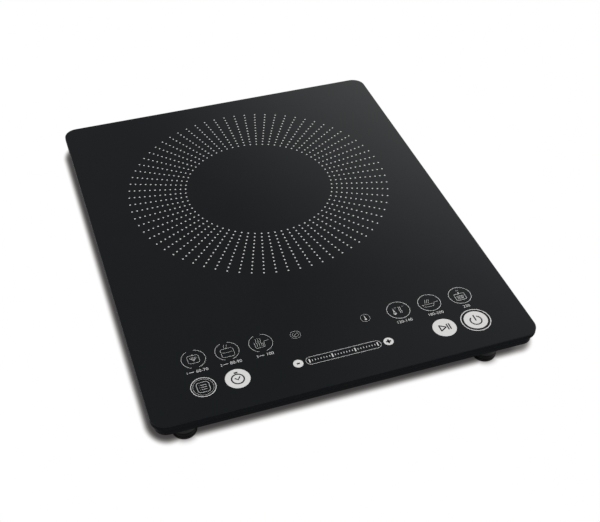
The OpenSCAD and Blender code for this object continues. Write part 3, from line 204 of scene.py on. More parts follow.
def grown(name, tree, values, start=None):
    """Runs a tree over a starting shape and keeps the result as a plain mesh."""
    source = bpy.data.objects.new(name + ".start", start or bpy.data.meshes.new(name + ".start"))
    scene.collection.objects.link(source)
    modifier = source.modifiers.new(tree.name, "NODES")
    modifier.node_group = tree
    for item in tree.interface.items_tree:
        if item.in_out == "INPUT" and item.name in values:
            modifier[item.identifier] = values[item.name]
    graph = bpy.context.evaluated_depsgraph_get()
    mesh = bpy.data.meshes.new_from_object(source.evaluated_get(graph))
    source.modifiers.remove(modifier)
    bpy.data.objects.remove(source)
    mesh.name = name
    return placed(name, mesh)


zone_y = 46.65 * MM
ink_h = 0.03 * MM
enamel = finish("white fired enamel", (0.66, 0.655, 0.65), (0.72, 0.715, 0.705),
                0.35 * MM, (0.35, 0.5), depth=0.004 * MM)

dots_tree, entry = new_tree(
    "dots in rays", ("Rays", "Int"), ("Rings", "Int"), ("First Radius", "Float"),
    ("Ring Step", "Float"), ("Dot Radius", "Float"), ("Ink Height", "Float"), ("Centre", "Vector"))
index = add(dots_tree, "GeometryNodeInputIndex").outputs[0]
ring = sums(dots_tree, "FLOOR", sums(dots_tree, "DIVIDE", index, entry["Rays"]))
ray = sums(dots_tree, "MODULO", index, entry["Rays"])
further = sums(dots_tree, "MULTIPLY", ring, entry["Ring Step"])
reach = sums(dots_tree, "ADD", entry["First Radius"], further)
turn = sums(dots_tree, "DIVIDE", sums(dots_tree, "MULTIPLY", ray, 2 * pi), entry["Rays"])
spot = add(dots_tree, "ShaderNodeCombineXYZ",
           {"X": sums(dots_tree, "MULTIPLY", reach, sums(dots_tree, "COSINE", turn)),
            "Y": sums(dots_tree, "MULTIPLY", reach, sums(dots_tree, "SINE", turn))})
spot = vectors(dots_tree, "ADD", spot.outputs[0], entry["Centre"])
points = add(dots_tree, "GeometryNodePoints",
             {"Count": sums(dots_tree, "MULTIPLY", entry["Rays"], entry["Rings"]),
              "Position": spot[0]})
dot = add(dots_tree, "GeometryNodeMeshCylinder",
          {"Vertices": 12, "Radius": entry["Dot Radius"], "Depth": entry["Ink Height"]})
dots = add(dots_tree, "GeometryNodeInstanceOnPoints",
           {"Points": points.outputs[0], "Instance": dot.outputs[0]})
close_tree(dots_tree, dots.outputs[0], entry)
zone_dots = grown("cooking_zone_dots", dots_tree, {
    "Rays": 72, "Rings": 12, "First Radius": 60.25 * MM, "Ring Step": 4.168 * MM,
    "Dot Radius": 0.62 * MM, "Ink Height": ink_h, "Centre": (0, zone_y, glass_top + ink_h / 2),
    "Finish": enamel})
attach(zone_dots, "hob")

# ------------------------------------------------------------------ control panel print
# Touch keys in two rows along the front edge, with a power scale between them, in the same
# enamel. The lines are ribbons of ink; the two keys on the right and the timer are full discs.
panel_x = 0.55 * MM        # the print stands this far right of the middle of the glass
upper_y, lower_y = -124.7 * MM, -151.5 * MM
key_x = (-100.2, -76.3, -51.9)
far_x = (51.9, 76.2, 100.6)


def at_key(x, y, *strokes):
    """Strokes drawn round a key's centre, in millimetres, moved to their place on the panel."""
    return [[(panel_x + (x + px) * MM, y + py * MM) for px, py in stroke] for stroke in strokes]


def arc(x, y, r, start=0, end=360, steps=48):
    """Points along an arc, in degrees."""
    return [(x + r * cos(radians(start + (end - start) * i / steps)),
             y + r * sin(radians(start + (end - start) * i / steps))) for i in range(steps + 1)]


def soft_box(x, y, w, h, r, steps=5):
    """Outline of a rectangle with round corners."""
    points = []
    for quarter, (sx, sy) in enumerate(((1, 1), (-1, 1), (-1, -1), (1, -1))):
        points += arc(x + sx * (w / 2 - r), y + sy * (h / 2 - r), r,
                      quarter * 90, quarter * 90 + 90, steps)
    return points + points[:1]


line_tree, entry = new_tree("ink ribbons", ("Line Width", "Float"), ("Ink Height", "Float"))
flat_lines = add(line_tree, "GeometryNodeSetCurveNormal", {0: entry["Geometry"]}, mode="Z_UP")
nib = add(line_tree, "GeometryNodeCurvePrimitiveQuadrilateral",
          {"Width": entry["Line Width"], "Height": entry["Ink Height"]})
ribbon = add(line_tree, "GeometryNodeCurveToMesh",
             {0: flat_lines.outputs[0], 1: nib.outputs[0], "Fill Caps": True})
close_tree(line_tree, ribbon.outputs[0], entry)


def ink_lines(name, strokes, width, material, lift=0.0):
    """Strokes printed on the glass, or on ink of that height."""
    curve = bpy.data.curves.new(name, "CURVE")
    curve.dimensions = "3D"
    for stroke in strokes:
        closed = hypot(stroke[0][0] - stroke[-1][0], stroke[0][1] - stroke[-1][1]) < 0.01 * MM
        stroke = stroke[:-1] if closed else stroke
        spline = curve.splines.new("POLY")
        spline.points.add(len(stroke) - 1)
        spline.use_cyclic_u = closed
        for point, (x, y) in zip(spline.points, stroke):
            point.co = (x, y, glass_top + lift + ink_h / 2, 1)
    piece = grown(name, line_tree,
                  {"Line Width": width, "Ink Height": ink_h, "Finish": material}, curve)
    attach(piece, "hob")
    return piece


def ink_discs(name, places, material):
    """Round pads of ink: centre and radius of each."""
    shape = bmesh.new()
    for x, y, r in places:
        bmesh.ops.create_cone(shape, cap_ends=True, segments=72, radius1=r, radius2=r, depth=ink_h,
                              matrix=Matrix.Translation((x, y, glass_top + ink_h / 2)))
    mesh = bpy.data.meshes.new(name)
    shape.to_mesh(mesh)
    shape.free()
    piece = placed(name, mesh, material)
    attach(piece, "hob")
    return piece


ring_r, list_ring_r, inner_ring_r, power_ring_r, disc_r = 8.4, 8.5, 7.1, 10.65, 8.65
broken_ring = (arc(0, 0, ring_r, -77, 76), arc(0, 0, ring_r, 112, 247))
key_rings = []
for x in key_x:
    key_rings += at_key(x, upper_y, *broken_ring)
ink_lines("numbered_key_rings", key_rings, 0.22 * MM, enamel)
key_rings = []
for x in far_x:
    key_rings += at_key(x, upper_y, arc(0, 0, ring_r))
ink_lines("dish_key_rings", key_rings, 0.32 * MM, enamel)
ink_lines("list_key_ring", at_key(key_x[0], lower_y, arc(0, 0, list_ring_r)), 0.48 * MM, enamel)
ink_lines("power_key_ring", at_key(far_x[2], lower_y, arc(0, 0, power_ring_r, steps=72)),
          0.66 * MM, enamel)

icons = []
# slow cooking: a square pot with its knob, and a sprig inside
icons += at_key(key_x[0], upper_y, soft_box(-0.1, -0.2, 8.1, 7.4, 1.7),
                arc(-0.1, 4.0, 0.35, steps=12),
                [(-0.1, -2), (-0.1, 2.2)], [(-0.3, -1.6), (-1.2, 0.4), (-1.0, 2.0)],
                [(0.1, -1.6), (1.0, 0.4), (0.8, 2.0)], [(-0.5, -1.2), (-2.2, 0.6), (-2.4, 1.6)],
                [(0.3, -1.2), (2.0, 0.6), (2.2, 1.6)])
# stewing: a closed pot, steam above it and the level of the broth
icons += at_key(key_x[1], upper_y, soft_box(0, -1.5, 9, 8, 1.6), arc(0, 2.9, 0.35, steps=12),
                [(-1.5, 3.7), (-1.2, 4.9), (-0.8, 6.2)], [(0.5, 3.7), (0.8, 4.9), (1.2, 6.2)],
                [(-3.6, -1.2), (-2.4, -0.9), (-1.2, -1.5), (0, -1.1), (1.2, -1.5), (2.4, -0.9),
                 (3.6, -1.3)])
# boiling: a saucepan with its handle, three plumes that rise from it, and a short one
icons += at_key(key_x[2], upper_y,
                [(-4.4, 1.2), (-4.5, -3.2), (-3.9, -4.2), (1.5, -4.2), (2.2, -3.4), (2.3, -0.4),
                 (2.7, 0.9), (3.6, 1.3), (6, 1.4)],
                *[[(x, -2.9), (x + 0.35, -0.7), (x - 0.1, 1.2), (x + 0.4, 3), (x + 0.3, 4.8)]
                  for x in (-3.1, -1.5, 0.1)], [(1.2, -3), (1.4, -1.4), (1.3, -0.4)])
# full heat: a thermometer with its marks; its column and two plumes are thicker, further down
icons += at_key(far_x[0], upper_y,
                arc(-3.5, -2.5, 1.1, 62, 478, 24) + [(-3.9, 2.2), (-3.1, 2.2), (-3.0, -1.5)],
                [(-2.2, 2.9), (-1.5, 2.9)], [(-1.0, 2.9), (-0.6, 2.9)], [(-2.2, 1.8), (-1.6, 1.8)],
                [(4.0, 2.9), (4.9, 2.9)], [(4.45, 2.4), (4.45, 3.4)])
# stir frying: a shallow pan with a raised handle, and three slanting plumes
icons += at_key(far_x[1], upper_y,
                [(-6, -0.9), (-5.1, -3.1), (-4.4, -3.8), (1.6, -3.9), (2.4, -3.2), (3.1, -1.2),
                 (3.9, -0.3), (5.3, -0.5), (6.7, 0.1)],
                [(-5.8, -1.3), (3.0, -1.3)],
                *[[(x, 0.1), (x + 0.3, 1.3), (x + 0.9, 2.3), (x + 1.1, 3.6)]
                  for x in (-3.3, -1.9, -0.5)])
ink_lines("key_icons", icons, 0.19 * MM, enamel)
# frying: a pot with a flat lid and its knob, and the filling hatched
icons = at_key(far_x[2], upper_y,
               [(-4.1, 0.0), (-4.1, -3.9), (-3.3, -4.7), (2.9, -4.7), (3.7, -3.9), (3.7, 0.0)],
               [(-4.3, 0.5), (-3.8, 1.8), (3.6, 1.8), (4.2, 0.5)],
               arc(-0.1, 2.6, 0.5, steps=12), arc(-0.1, 2.6, 0.2, steps=12),
               [(-0.9, 5.0), (-0.4, 5.7), (0.0, 5.0), (0.5, 5.7), (1.0, 5.0)],
               [(-3.0, -0.6), (2.8, -0.6)],
               *[[(x, -3.7), (x + 0.7, -2.5), (x + 0.2, -1.3)]
                 for x in (-2.6, -1.6, -0.6, 0.4, 1.4)])
# programme list: a sheet with three lines, in a thin second ring
icons += at_key(key_x[0], lower_y, soft_box(0, 0, 8.6, 8.8, 2.1),
                *[[(-1.6, y), (2.5, y)] for y in (2, 0, -2)],
                *[[(-2.7, y), (-2.3, y)] for y in (2, 0, -2)])
ink_lines("frying_and_list_icons", icons, 0.29 * MM, enamel)
# thick strokes: the columns and bulbs of the two thermometers, and thinner ones for the plumes
heat_lamp_x, timer_lamp_x = 26.3, -26.4
ink_lines("thermometer_columns",
          at_key(far_x[0], upper_y, [(-3.75, -2.6), (-3.75, 1.4)], [(-3.3, -2.6), (-3.3, 1.4)],
                 arc(-3.5, -2.6, 0.6, steps=16))
          + at_key(heat_lamp_x, upper_y, [(0, -0.6), (0, 1.8)], arc(0, -1.4, 0.42, steps=16)),
          0.6 * MM, enamel)
plumes = [[(x, -3.4), (x + 0.4, -1.8), (x, -0.2), (x + 0.4, 1.4), (x + 0.2, 3.2)]
          for x in (0.5, 1.7)]
ink_lines("full_heat_plumes", at_key(far_x[0], upper_y, *plumes), 0.32 * MM, enamel)
ink_lines("lamp_outlines",
          at_key(heat_lamp_x, upper_y, soft_box(0, 0, 6.7, 7.1, 2.9))
          + at_key(timer_lamp_x, upper_y, soft_box(0, 0, 6.9, 6.9, 2.6),
                   arc(0, 0, 2.1, 120, 420, 24), [(-1.4, -1.2), (0.9, 1.0)],
                   [(-0.3, 2.9), (0.3, 2.9)]), 0.15 * MM, enamel)
ink_lines("list_key_inner_ring", at_key(key_x[0], lower_y, arc(0, 0, inner_ring_r)),
          0.16 * MM, enamel)

scale_half, scale_r = 27.6, 3.45
ink_lines("power_scale_outline",
          at_key(0, lower_y, soft_box(0, 0, 2 * scale_half, 2 * scale_r, scale_r - 0.01, 12)),
          0.28 * MM, enamel)

ticks_tree, entry = new_tree(
    "scale marks", ("Marks", "Int"), ("Long Every", "Int"), ("Pitch", "Float"),
    ("Long Mark", "Vector"), ("Short Mark", "Vector"), ("Centre", "Vector"))
index = add(ticks_tree, "GeometryNodeInputIndex").outputs[0]
middle = sums(ticks_tree, "DIVIDE", sums(ticks_tree, "SUBTRACT", entry["Marks"], 1.0), 2.0)
from_middle = sums(ticks_tree, "SUBTRACT", index, middle)
offset = add(ticks_tree, "ShaderNodeCombineXYZ",
             {"X": sums(ticks_tree, "MULTIPLY", from_middle, entry["Pitch"])})
spot = vectors(ticks_tree, "ADD", offset.outputs[0], entry["Centre"])
points = add(ticks_tree, "GeometryNodePoints", {"Count": entry["Marks"], "Position": spot[0]})
is_short = sums(ticks_tree, "GREATER_THAN",
                sums(ticks_tree, "MODULO", index, entry["Long Every"]), 0.5)
size = add(ticks_tree, "ShaderNodeMix",
           {0: is_short, 4: entry["Long Mark"], 5: entry["Short Mark"]}, data_type="VECTOR")
mark = add(ticks_tree, "GeometryNodeMeshCube", {"Size": (1, 1, 1)})
marks = add(ticks_tree, "GeometryNodeInstanceOnPoints",
            {"Points": points.outputs[0], "Instance": mark.outputs[0], "Scale": size.outputs[1]})
close_tree(ticks_tree, marks.outputs[0], entry)
scale_marks = grown("power_scale_marks", ticks_tree, {
    "Marks": 25, "Long Every": 8, "Pitch": 2.0925 * MM,
    "Long Mark": (0.85 * MM, 3.3 * MM, ink_h), "Short Mark": (0.42 * MM, 1.35 * MM, ink_h),
    "Centre": (panel_x, lower_y, glass_top + ink_h / 2), "Finish": enamel})
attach(scale_marks, "hob")

step_x, step_r = 33.3, 3.55
ink_discs("key_discs", [(panel_x + x * MM, lower_y, r * MM) for x, r in (
    (-step_x, step_r), (step_x, step_r),
    (key_x[1], disc_r), (far_x[1], disc_r), (far_x[2], disc_r))], enamel)
clear = finish("glass showing through the enamel", (0.014, 0.016, 0.018), (0.020, 0.022, 0.024),
               1 * MM, (0.25, 0.35), specular=0.3)
ink_lines("timer_start_and_power_symbols",
          at_key(key_x[1], lower_y, arc(0, -0.4, 4.3), [(-1.9, 0.7), (0, -1.2), (1.9, 1.4)])
          + at_key(far_x[1], lower_y, [(-3.3, 3.1), (-3.3, -2.9)], [(-3.4, -2.7), (1.4, 0.2)],
                   [(1.4, 0.0), (-3.4, 2.9)], [(2.4, 3.0), (2.4, -2.8)], [(4.1, 3.0), (4.1, -2.8)])
          + at_key(far_x[2], lower_y, arc(0, -0.4, 4.15, 128, 425), [(0, 4.9), (0, -0.8)]),
          1.0 * MM, clear, lift=ink_h)
ink_lines("step_key_symbols",
          at_key(-step_x, lower_y, [(-1.1, 0), (1.1, 0)])
          + at_key(step_x, lower_y, [(-1.9, 0), (1.9, 0)], [(0, -1.9), (0, 1.9)])
          + at_key(key_x[1], lower_y, [(-1.3, 5.4), (1.3, 5.4)]), 1.35 * MM, clear, lift=ink_h)

digit_h = 3.7 * MM
digit_thin = -0.03 * MM    # the outline of a digit is drawn in by so much


def numerals(name, labels):
    """Plain numbers under the keys: text, the middle of its baseline, and its size."""
    parts = bmesh.new()
    for text, x, y, size in labels:
        font = bpy.data.curves.new(name, "FONT")
        font.body, font.size, font.extrude = text, size, ink_h / 2
        font.align_x = "CENTER"
        font.offset = digit_thin
        shape = bpy.data.objects.new(name, font)
        scene.collection.objects.link(shape)
        graph = bpy.context.evaluated_depsgraph_get()
        text_mesh = bpy.data.meshes.new_from_object(shape.evaluated_get(graph))
        text_mesh.transform(Matrix.Translation((panel_x + x * MM, y, glass_top + ink_h / 2)))
        parts.from_mesh(text_mesh)
        bpy.data.objects.remove(shape)
    mesh = bpy.data.meshes.new(name)
    parts.to_mesh(mesh)
    parts.free()
    piece = placed(name, mesh)
    mesh.materials.clear()
    mesh.materials.append(enamel)
    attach(piece, "hob")
    return piece


label_y = -137.6 * MM
labels = []
label_lead = (-7.3, -7.3, -5.9)     # from the key's middle to the middle of its count
label_follow = 3.2                  # and to the middle of its temperature
for x, lead, count, text in zip(key_x, label_lead, "123", ("60-70", "80-90", "100")):
    labels += [(count, x + lead, label_y, 0.85 * digit_h),
               (text, x + label_follow, label_y, digit_h)]
for x, text in zip(far_x, ("120-140", "180-200", "220")):
    labels.append((text, x, label_y, digit_h))
numerals("key_numbers", labels)
dashes = []
dash_from, dash_to, dash_h = 1.3, 4.9, 1.2 * MM     # from the count, and above the baseline
for x, lead in zip(key_x, label_lead):
    dashes += at_key(x, label_y + dash_h, [(lead + dash_from, 0), (lead + dash_to, 0)])
ink_lines("label_dashes", dashes, 0.4 * MM, enamel)

# ------------------------------------------------------------------ rim and seal
# The rim is one black moulding with a fine spark texture. The glass lies on a bead of
# silicone along its ledge, and eight screws hold it to the tray from below.
def dress(material, *names):
    """Gives CAD nodes their finish."""
    for name in names:
        slots = nodes[name].data.materials
        if not slots:
            slots.append(material)
        for i in range(len(slots)):
            slots[i] = material


rim_black = finish("black rim moulding", (0.0022, 0.0030, 0.0042), (0.0036, 0.0044, 0.0056),
                   0.5 * MM, (0.5, 0.62), depth=0.02 * MM, specular=0.03)
seal_black = finish("black silicone bead", (0.0040, 0.0044, 0.0050), (0.0060, 0.0064, 0.0070),
                    1 * MM, (0.5, 0.6), depth=0.03 * MM, specular=0.03)
dress(rim_black, "top_frame")
dress(seal_black, "glass_seal")

# ------------------------------------------------------------------ base tray
# The tray is moulded in black plastic, with sloping sides, a grille under the blower, outlet
# slots at the back and the sides, and a plain recess for a plate on its underside.
tray_black = finish("black tray moulding", (0.0045, 0.0050, 0.0056), (0.0075, 0.0080, 0.0088),
                    0.6 * MM, (0.45, 0.6), depth=0.03 * MM, specular=0.12)
dress(tray_black, "base_tray")

# ------------------------------------------------------------------ feet
# Four soft rubber pucks with a rounded lower edge and a groove round the side, each held by a
# screw in the recess of its underside.
def turned(name, profile, material, sides=72):
    """A ring turned round the Z axis from a closed profile of (radius, height) pairs."""
    shape = bmesh.new()
    rows = []
    for i in range(sides):
        a = 2 * pi * i / sides
        rows.append([shape.verts.new((r * cos(a), r * sin(a), z)) for r, z in profile])
    for i in range(sides):
        one, two = rows[i], rows[(i + 1) % sides]
        for j in range(len(profile)):
            k = (j + 1) % len(profile)
            shape.faces.new((one[j], one[k], two[k], two[j]))
    bmesh.ops.recalc_face_normals(shape, faces=shape.faces)
    mesh = bpy.data.meshes.new(name)
    shape.to_mesh(mesh)
    shape.free()
    mesh.materials.append(material)
    return mesh


foot_low, foot_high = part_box("foot_front_right")
foot_r = (foot_high.x - foot_low.x) / 2
foot_x, foot_y = (foot_high.x + foot_low.x) / 2, -(foot_high.y + foot_low.y) / 2
foot_h = foot_high.z
tip_r, round_h = 7.2 * MM, 2.6 * MM
hole_r, recess_r, recess_h = 2.05 * MM, 4.3 * MM, 2.5 * MM
groove, groove_low, groove_high = 0.25 * MM, 3.6 * MM, 4.3 * MM
lip = 0.2 * MM             # every sharp edge of the moulding is broken by so much
foot_profile = [(hole_r, recess_h), (recess_r, recess_h), (recess_r, lip), (recess_r + lip, 0)]
foot_profile += [(tip_r + (foot_r - tip_r) * sin(a), round_h * (1 - cos(a)))
                 for a in (pi / 2 * step / 10 for step in range(11))]
foot_profile += [(foot_r, groove_low), (foot_r - groove, groove_low + lip),
                 (foot_r - groove, groove_high - lip), (foot_r, groove_high),
                 (foot_r, foot_h - 0.3 * MM), (foot_r - lip, foot_h), (hole_r, foot_h)]
rubber = finish("black foot rubber", (0.0016, 0.0019, 0.0022), (0.0034, 0.0038, 0.0042),
                0.8 * MM, (0.36, 0.5), depth=0.02 * MM, specular=0.06)
feet_tree, entry = new_tree("one at each corner", ("Across", "Float"), ("Along", "Float"))
corners = add(feet_tree, "GeometryNodeMeshGrid",
              {"Size X": entry["Across"], "Size Y": entry["Along"],
               "Vertices X": 2, "Vertices Y": 2})
copies = add(feet_tree, "GeometryNodeInstanceOnPoints",
             {"Points": corners.outputs[0], "Instance": entry["Geometry"]})
close_tree(feet_tree, copies.outputs[0], entry)
feet = smooth(grown("rubber_feet", feet_tree,
                    {"Across": 2 * foot_x, "Along": 2 * foot_y, "Finish": rubber},
                    turned("foot", foot_profile, rubber)))
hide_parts("foot_front_left", "foot_front_right", "foot_rear_left", "foot_rear_right")
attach(feet, "hob")

# ------------------------------------------------------------------ screws
# Cross-head screws in zinc-plated steel: four in the feet, eight through the tray into the
# rim, and small ones inside.
zinc = finish("zinc plated steel", (0.50, 0.50, 0.52), (0.66, 0.66, 0.68), 1.2 * MM, (0.25, 0.4),
              depth=0.004 * MM, metallic=1.0)
dress(zinc, "foot_screws", "housing_screws", "carrier_screws", "board_screws", "heat_sink_screws",
      "terminal_screws", "blower_screws", "control_screws")

# ------------------------------------------------------------------ cord inlet
# A rubber bush in the rear of the tray, where the mains cord goes in. No cord is fitted.
grommet_rubber = finish("grommet rubber", (0.008, 0.008, 0.008), (0.014, 0.014, 0.014), 0.8 * MM,
                        (0.4, 0.55), depth=0.02 * MM, specular=0.35)
dress(grommet_rubber, "cord_grommet")

# ------------------------------------------------------------------ induction coil
# A flat spiral of varnished copper strands, bonded turn to turn on a moulded spider. Ferrite bars
# lie in channels under the spokes, a mica sheet covers the wire, and springs press it all up.
def banded(name, dark, light, pitch, rough, depth, pattern="BANDS", axis="X", centre=(0, 0, 0),
           waver=0.0, metallic=0.0):
    """A material with fine ridges at that pitch: straight along an axis, or round a centre. The
    low parts of the ridges are painted in the dark colour, as shade in the grooves.
    """
    made = bpy.data.materials.new(name)
    made.use_nodes = True
    tree = made.node_tree
    shader = tree.nodes["Principled BSDF"]
    shader.inputs["Metallic"].default_value = metallic
    place = add(tree, "ShaderNodeTexCoord")
    moved = add(tree, "ShaderNodeMapping", {"Vector": place.outputs["Object"],
                                            "Location": [-value for value in centre]})
    # a wave's own period is pi / 10 of its scale's unit along an axis, and round a centre
    ridges = add(tree, "ShaderNodeTexWave", {"Vector": moved.outputs[0], "Scale": pi / 10 / pitch,
                                             "Distortion": waver, "Detail": 2.0}, wave_type=pattern)
    setattr(ridges, "bands_direction" if pattern == "BANDS" else "rings_direction", axis)
    # painted shade: the ramp gives the low parts of the ridges the dark colour
    ramp = add(tree, "ShaderNodeValToRGB", {"Fac": ridges.outputs["Fac"]})
    ramp.color_ramp.elements[0].color = (*dark, 1)
    ramp.color_ramp.elements[1].color = (*light, 1)
    tree.links.new(ramp.outputs["Color"], shader.inputs["Base Color"])
    sheen = add(tree, "ShaderNodeMapRange",
                {"Value": ridges.outputs["Fac"], "To Min": rough[1], "To Max": rough[0]})
    tree.links.new(sheen.outputs[0], shader.inputs["Roughness"])
    bump = add(tree, "ShaderNodeBump",
               {"Height": ridges.outputs["Fac"], "Distance": depth, "Strength": 1.0})
    tree.links.new(bump.outputs[0], shader.inputs["Normal"])
    return made


coil_low, coil_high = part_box("induction_coil")
wire_r = 1.55 * MM
first_r = 23.5 * MM
last_r = coil_high.x - wire_r
coil_centre = Vector((0, (coil_low.y + coil_high.y) / 2, coil_low.z + wire_r))
whole_turns, last_turn = 19, 340 / 360   # from the front, over the inner lead, to the outer lead
winding_tree, entry = new_tree(
    "flat winding", ("Turns", "Float"), ("First Radius", "Float"), ("Last Radius", "Float"),
    ("Wire Radius", "Float"), ("Centre", "Vector"))
path = add(winding_tree, "GeometryNodeCurveSpiral",
           {"Resolution": 90, "Rotations": entry["Turns"], "Start Radius": entry["First Radius"],
            "End Radius": entry["Last Radius"], "Height": 0.0, "Reverse": True})
set_down = add(winding_tree, "GeometryNodeTransform",
               {0: path.outputs[0], "Translation": entry["Centre"], "Rotation": (0, 0, -pi / 2)})
section = add(winding_tree, "GeometryNodeCurvePrimitiveCircle",
              {"Resolution": 10, "Radius": entry["Wire Radius"]})
wound = add(winding_tree, "GeometryNodeCurveToMesh",
            {0: set_down.outputs[0], 1: section.outputs[0], "Fill Caps": True})
round_wire = add(winding_tree, "GeometryNodeSetShadeSmooth", {0: wound.outputs[0]})
close_tree(winding_tree, round_wire.outputs[0], entry)
strands = banded("varnished copper strands", (0.20, 0.075, 0.030), (0.62, 0.30, 0.14), 0.42 * MM,
                 (0.28, 0.5), 0.06 * MM, pattern="RINGS", axis="Z", centre=coil_centre, waver=0.6,
                 metallic=0.75)
winding = grown("coil_winding", winding_tree, {
    "Turns": whole_turns + last_turn, "First Radius": first_r, "Last Radius": last_r,
    "Wire Radius": wire_r, "Centre": coil_centre, "Finish": strands})
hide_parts("induction_coil")
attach(winding, "hob")

spider = finish("black spider moulding", (0.020, 0.020, 0.021), (0.032, 0.032, 0.034), 0.9 * MM,
                (0.45, 0.6), depth=0.03 * MM, stretch=(1, 1, 0.3))
ferrite = finish("ground ferrite", (0.045, 0.045, 0.050), (0.085, 0.085, 0.095), 0.5 * MM,
                 (0.3, 0.55), depth=0.02 * MM, detail=6.0)
mica = finish("pressed mica", (0.46, 0.42, 0.32), (0.66, 0.61, 0.50), 2.5 * MM, (0.22, 0.6),
              depth=0.02 * MM, detail=8.0)
spring_wire = finish("bright spring wire", (0.55, 0.55, 0.57), (0.70, 0.70, 0.72), 0.8 * MM,
                     (0.2, 0.35), depth=0.003 * MM, metallic=1.0, stretch=(1, 1, 4))
silicone = finish("white silicone plug", (0.68, 0.68, 0.65), (0.76, 0.76, 0.73), 1.5 * MM,
                  (0.45, 0.6), depth=0.01 * MM)
bead = finish("green dipped bead", (0.02, 0.11, 0.03), (0.05, 0.20, 0.06), 0.7 * MM, (0.12, 0.25),
              depth=0.01 * MM)
red_sleeve = finish("red silicone sleeve", (0.34, 0.030, 0.018), (0.46, 0.050, 0.030), 1.2 * MM,
                    (0.4, 0.55), depth=0.015 * MM)
white_braid = finish("white braided sleeve", (0.55, 0.55, 0.52), (0.80, 0.80, 0.78), 0.28 * MM,
                     (0.6, 0.8), depth=0.05 * MM, detail=1.0)
dress(spider, "coil_carrier")
dress(ferrite, "ferrite_bars")
dress(mica, "mica_sheet")
dress(spring_wire, "coil_springs")
dress(silicone, "thermistor_seat")
dress(bead, "coil_thermistor")
dress(red_sleeve, "coil_leads")
dress(white_braid, "thermistor_lead")

# ------------------------------------------------------------------ main board
# A single-sided board of glass fibre under green solder mask, screwed to posts of the tray over
# a white insulating film. Tracks show through the mask as paler lines.
def masked_board(name, ground, track, track_pitch):
    """Green solder mask over copper tracks laid on a grid."""
    made = bpy.data.materials.new(name)
    made.use_nodes = True
    tree = made.node_tree
    shader = tree.nodes["Principled BSDF"]
    place = add(tree, "ShaderNodeTexCoord")
    tracks = add(tree, "ShaderNodeTexBrick",
                 {"Vector": place.outputs["Object"], "Color1": (*ground, 1),
                  "Color2": (*(value * 1.25 for value in ground), 1), "Mortar": (*track, 1),
                  "Scale": 1.0, "Mortar Size": 0.35 * MM, "Mortar Smooth": 0.2,
                  "Brick Width": 4 * track_pitch, "Row Height": track_pitch})
    mottle = add(tree, "ShaderNodeTexNoise",
                 {"Vector": place.outputs["Object"], "Scale": 1 / (6 * MM), "Detail": 4.0})
    tone = add(tree, "ShaderNodeMapRange",
               {"Value": mottle.outputs["Fac"], "To Min": 0.8, "To Max": 1.2})
    toned = add(tree, "ShaderNodeVectorMath", {0: tracks.outputs["Color"], 3: tone.outputs[0]},
                operation="SCALE")
    tree.links.new(toned.outputs[0], shader.inputs["Base Color"])
    sheen = add(tree, "ShaderNodeMapRange",
                {"Value": mottle.outputs["Fac"], "To Min": 0.2, "To Max": 0.34})
    tree.links.new(sheen.outputs[0], shader.inputs["Roughness"])
    bump = add(tree, "ShaderNodeBump",
               {"Height": tracks.outputs["Fac"], "Distance": 0.03 * MM, "Strength": 1.0})
    tree.links.new(bump.outputs[0], shader.inputs["Normal"])
    return made


film = finish("white insulating film", (0.66, 0.66, 0.61), (0.76, 0.76, 0.71), 4 * MM, (0.3, 0.45),
              depth=0.02 * MM)
power_board = masked_board("green power board", (0.018, 0.120, 0.040), (0.050, 0.260, 0.090),
                           5.08 * MM)
dress(film, "insulation_sheet")
dress(power_board, "main_board")

# ------------------------------------------------------------------ heat sink and power chips
# An aluminium extrusion with upright fins. The switching transistor and the mains rectifier are
# epoxy packages, screwed under its flange.
extruded = finish("extruded aluminium", (0.60, 0.61, 0.63), (0.76, 0.77, 0.79), 0.5 * MM,
                  (0.28, 0.42), depth=0.01 * MM, metallic=1.0, stretch=(0.04, 1, 1))
epoxy = finish("moulded epoxy", (0.012, 0.012, 0.013), (0.022, 0.022, 0.024), 0.3 * MM, (0.4, 0.55),
               depth=0.008 * MM)
dress(extruded, "heat_sink")
dress(epoxy, "power_transistor", "bridge_rectifier", "driver_chip", "touch_chip")

# ------------------------------------------------------------------ capacitors
# Film capacitors in glossy boxes: two blue ones across the inverter, a yellow one across the
# mains. The electrolytics are cans in a shrunk black sleeve, the varistor a blue dipped disc.
blue_box = finish("blue capacitor box", (0.014, 0.060, 0.30), (0.022, 0.085, 0.38), 1.2 * MM,
                  (0.2, 0.32), depth=0.01 * MM)
yellow_box = finish("yellow capacitor box", (0.62, 0.38, 0.03), (0.76, 0.50, 0.06), 1.2 * MM,
                    (0.2, 0.32), depth=0.01 * MM)
sleeve = finish("black shrunk sleeve", (0.012, 0.012, 0.016), (0.022, 0.022, 0.030), 1.5 * MM,
                (0.14, 0.26), depth=0.01 * MM)
blue_dip = finish("blue dipped lacquer", (0.010, 0.045, 0.24), (0.020, 0.080, 0.36), 2.5 * MM,
                  (0.1, 0.25), depth=0.05 * MM)
dress(blue_box, "resonant_capacitor", "smoothing_capacitor", "current_transformer")
dress(yellow_box, "filter_capacitor")
dress(sleeve, "electrolytic_capacitors", "buzzer")
dress(blue_dip, "varistor")

# ------------------------------------------------------------------ choke and supply transformer
# The mains choke is a coated powder ring wound with enamelled wire. The little supply
# transformer is a ferrite core under yellow tape.
core_coat = finish("green core coating", (0.030, 0.160, 0.070), (0.050, 0.240, 0.110), 0.6 * MM,
                   (0.35, 0.5), depth=0.02 * MM)
choke_wire = banded("enamelled choke wire", (0.30, 0.10, 0.030), (0.68, 0.32, 0.13), 1.1 * MM,
                    (0.2, 0.4), 0.12 * MM, axis="X", waver=0.3, metallic=0.7)
tape = banded("yellow transformer tape", (0.62, 0.46, 0.08), (0.78, 0.62, 0.16), 3 * MM,
              (0.25, 0.4), 0.02 * MM, axis="Z", waver=0.4)
dress(core_coat, "choke_core")
dress(choke_wire, "choke_winding")
dress(tape, "supply_transformer")

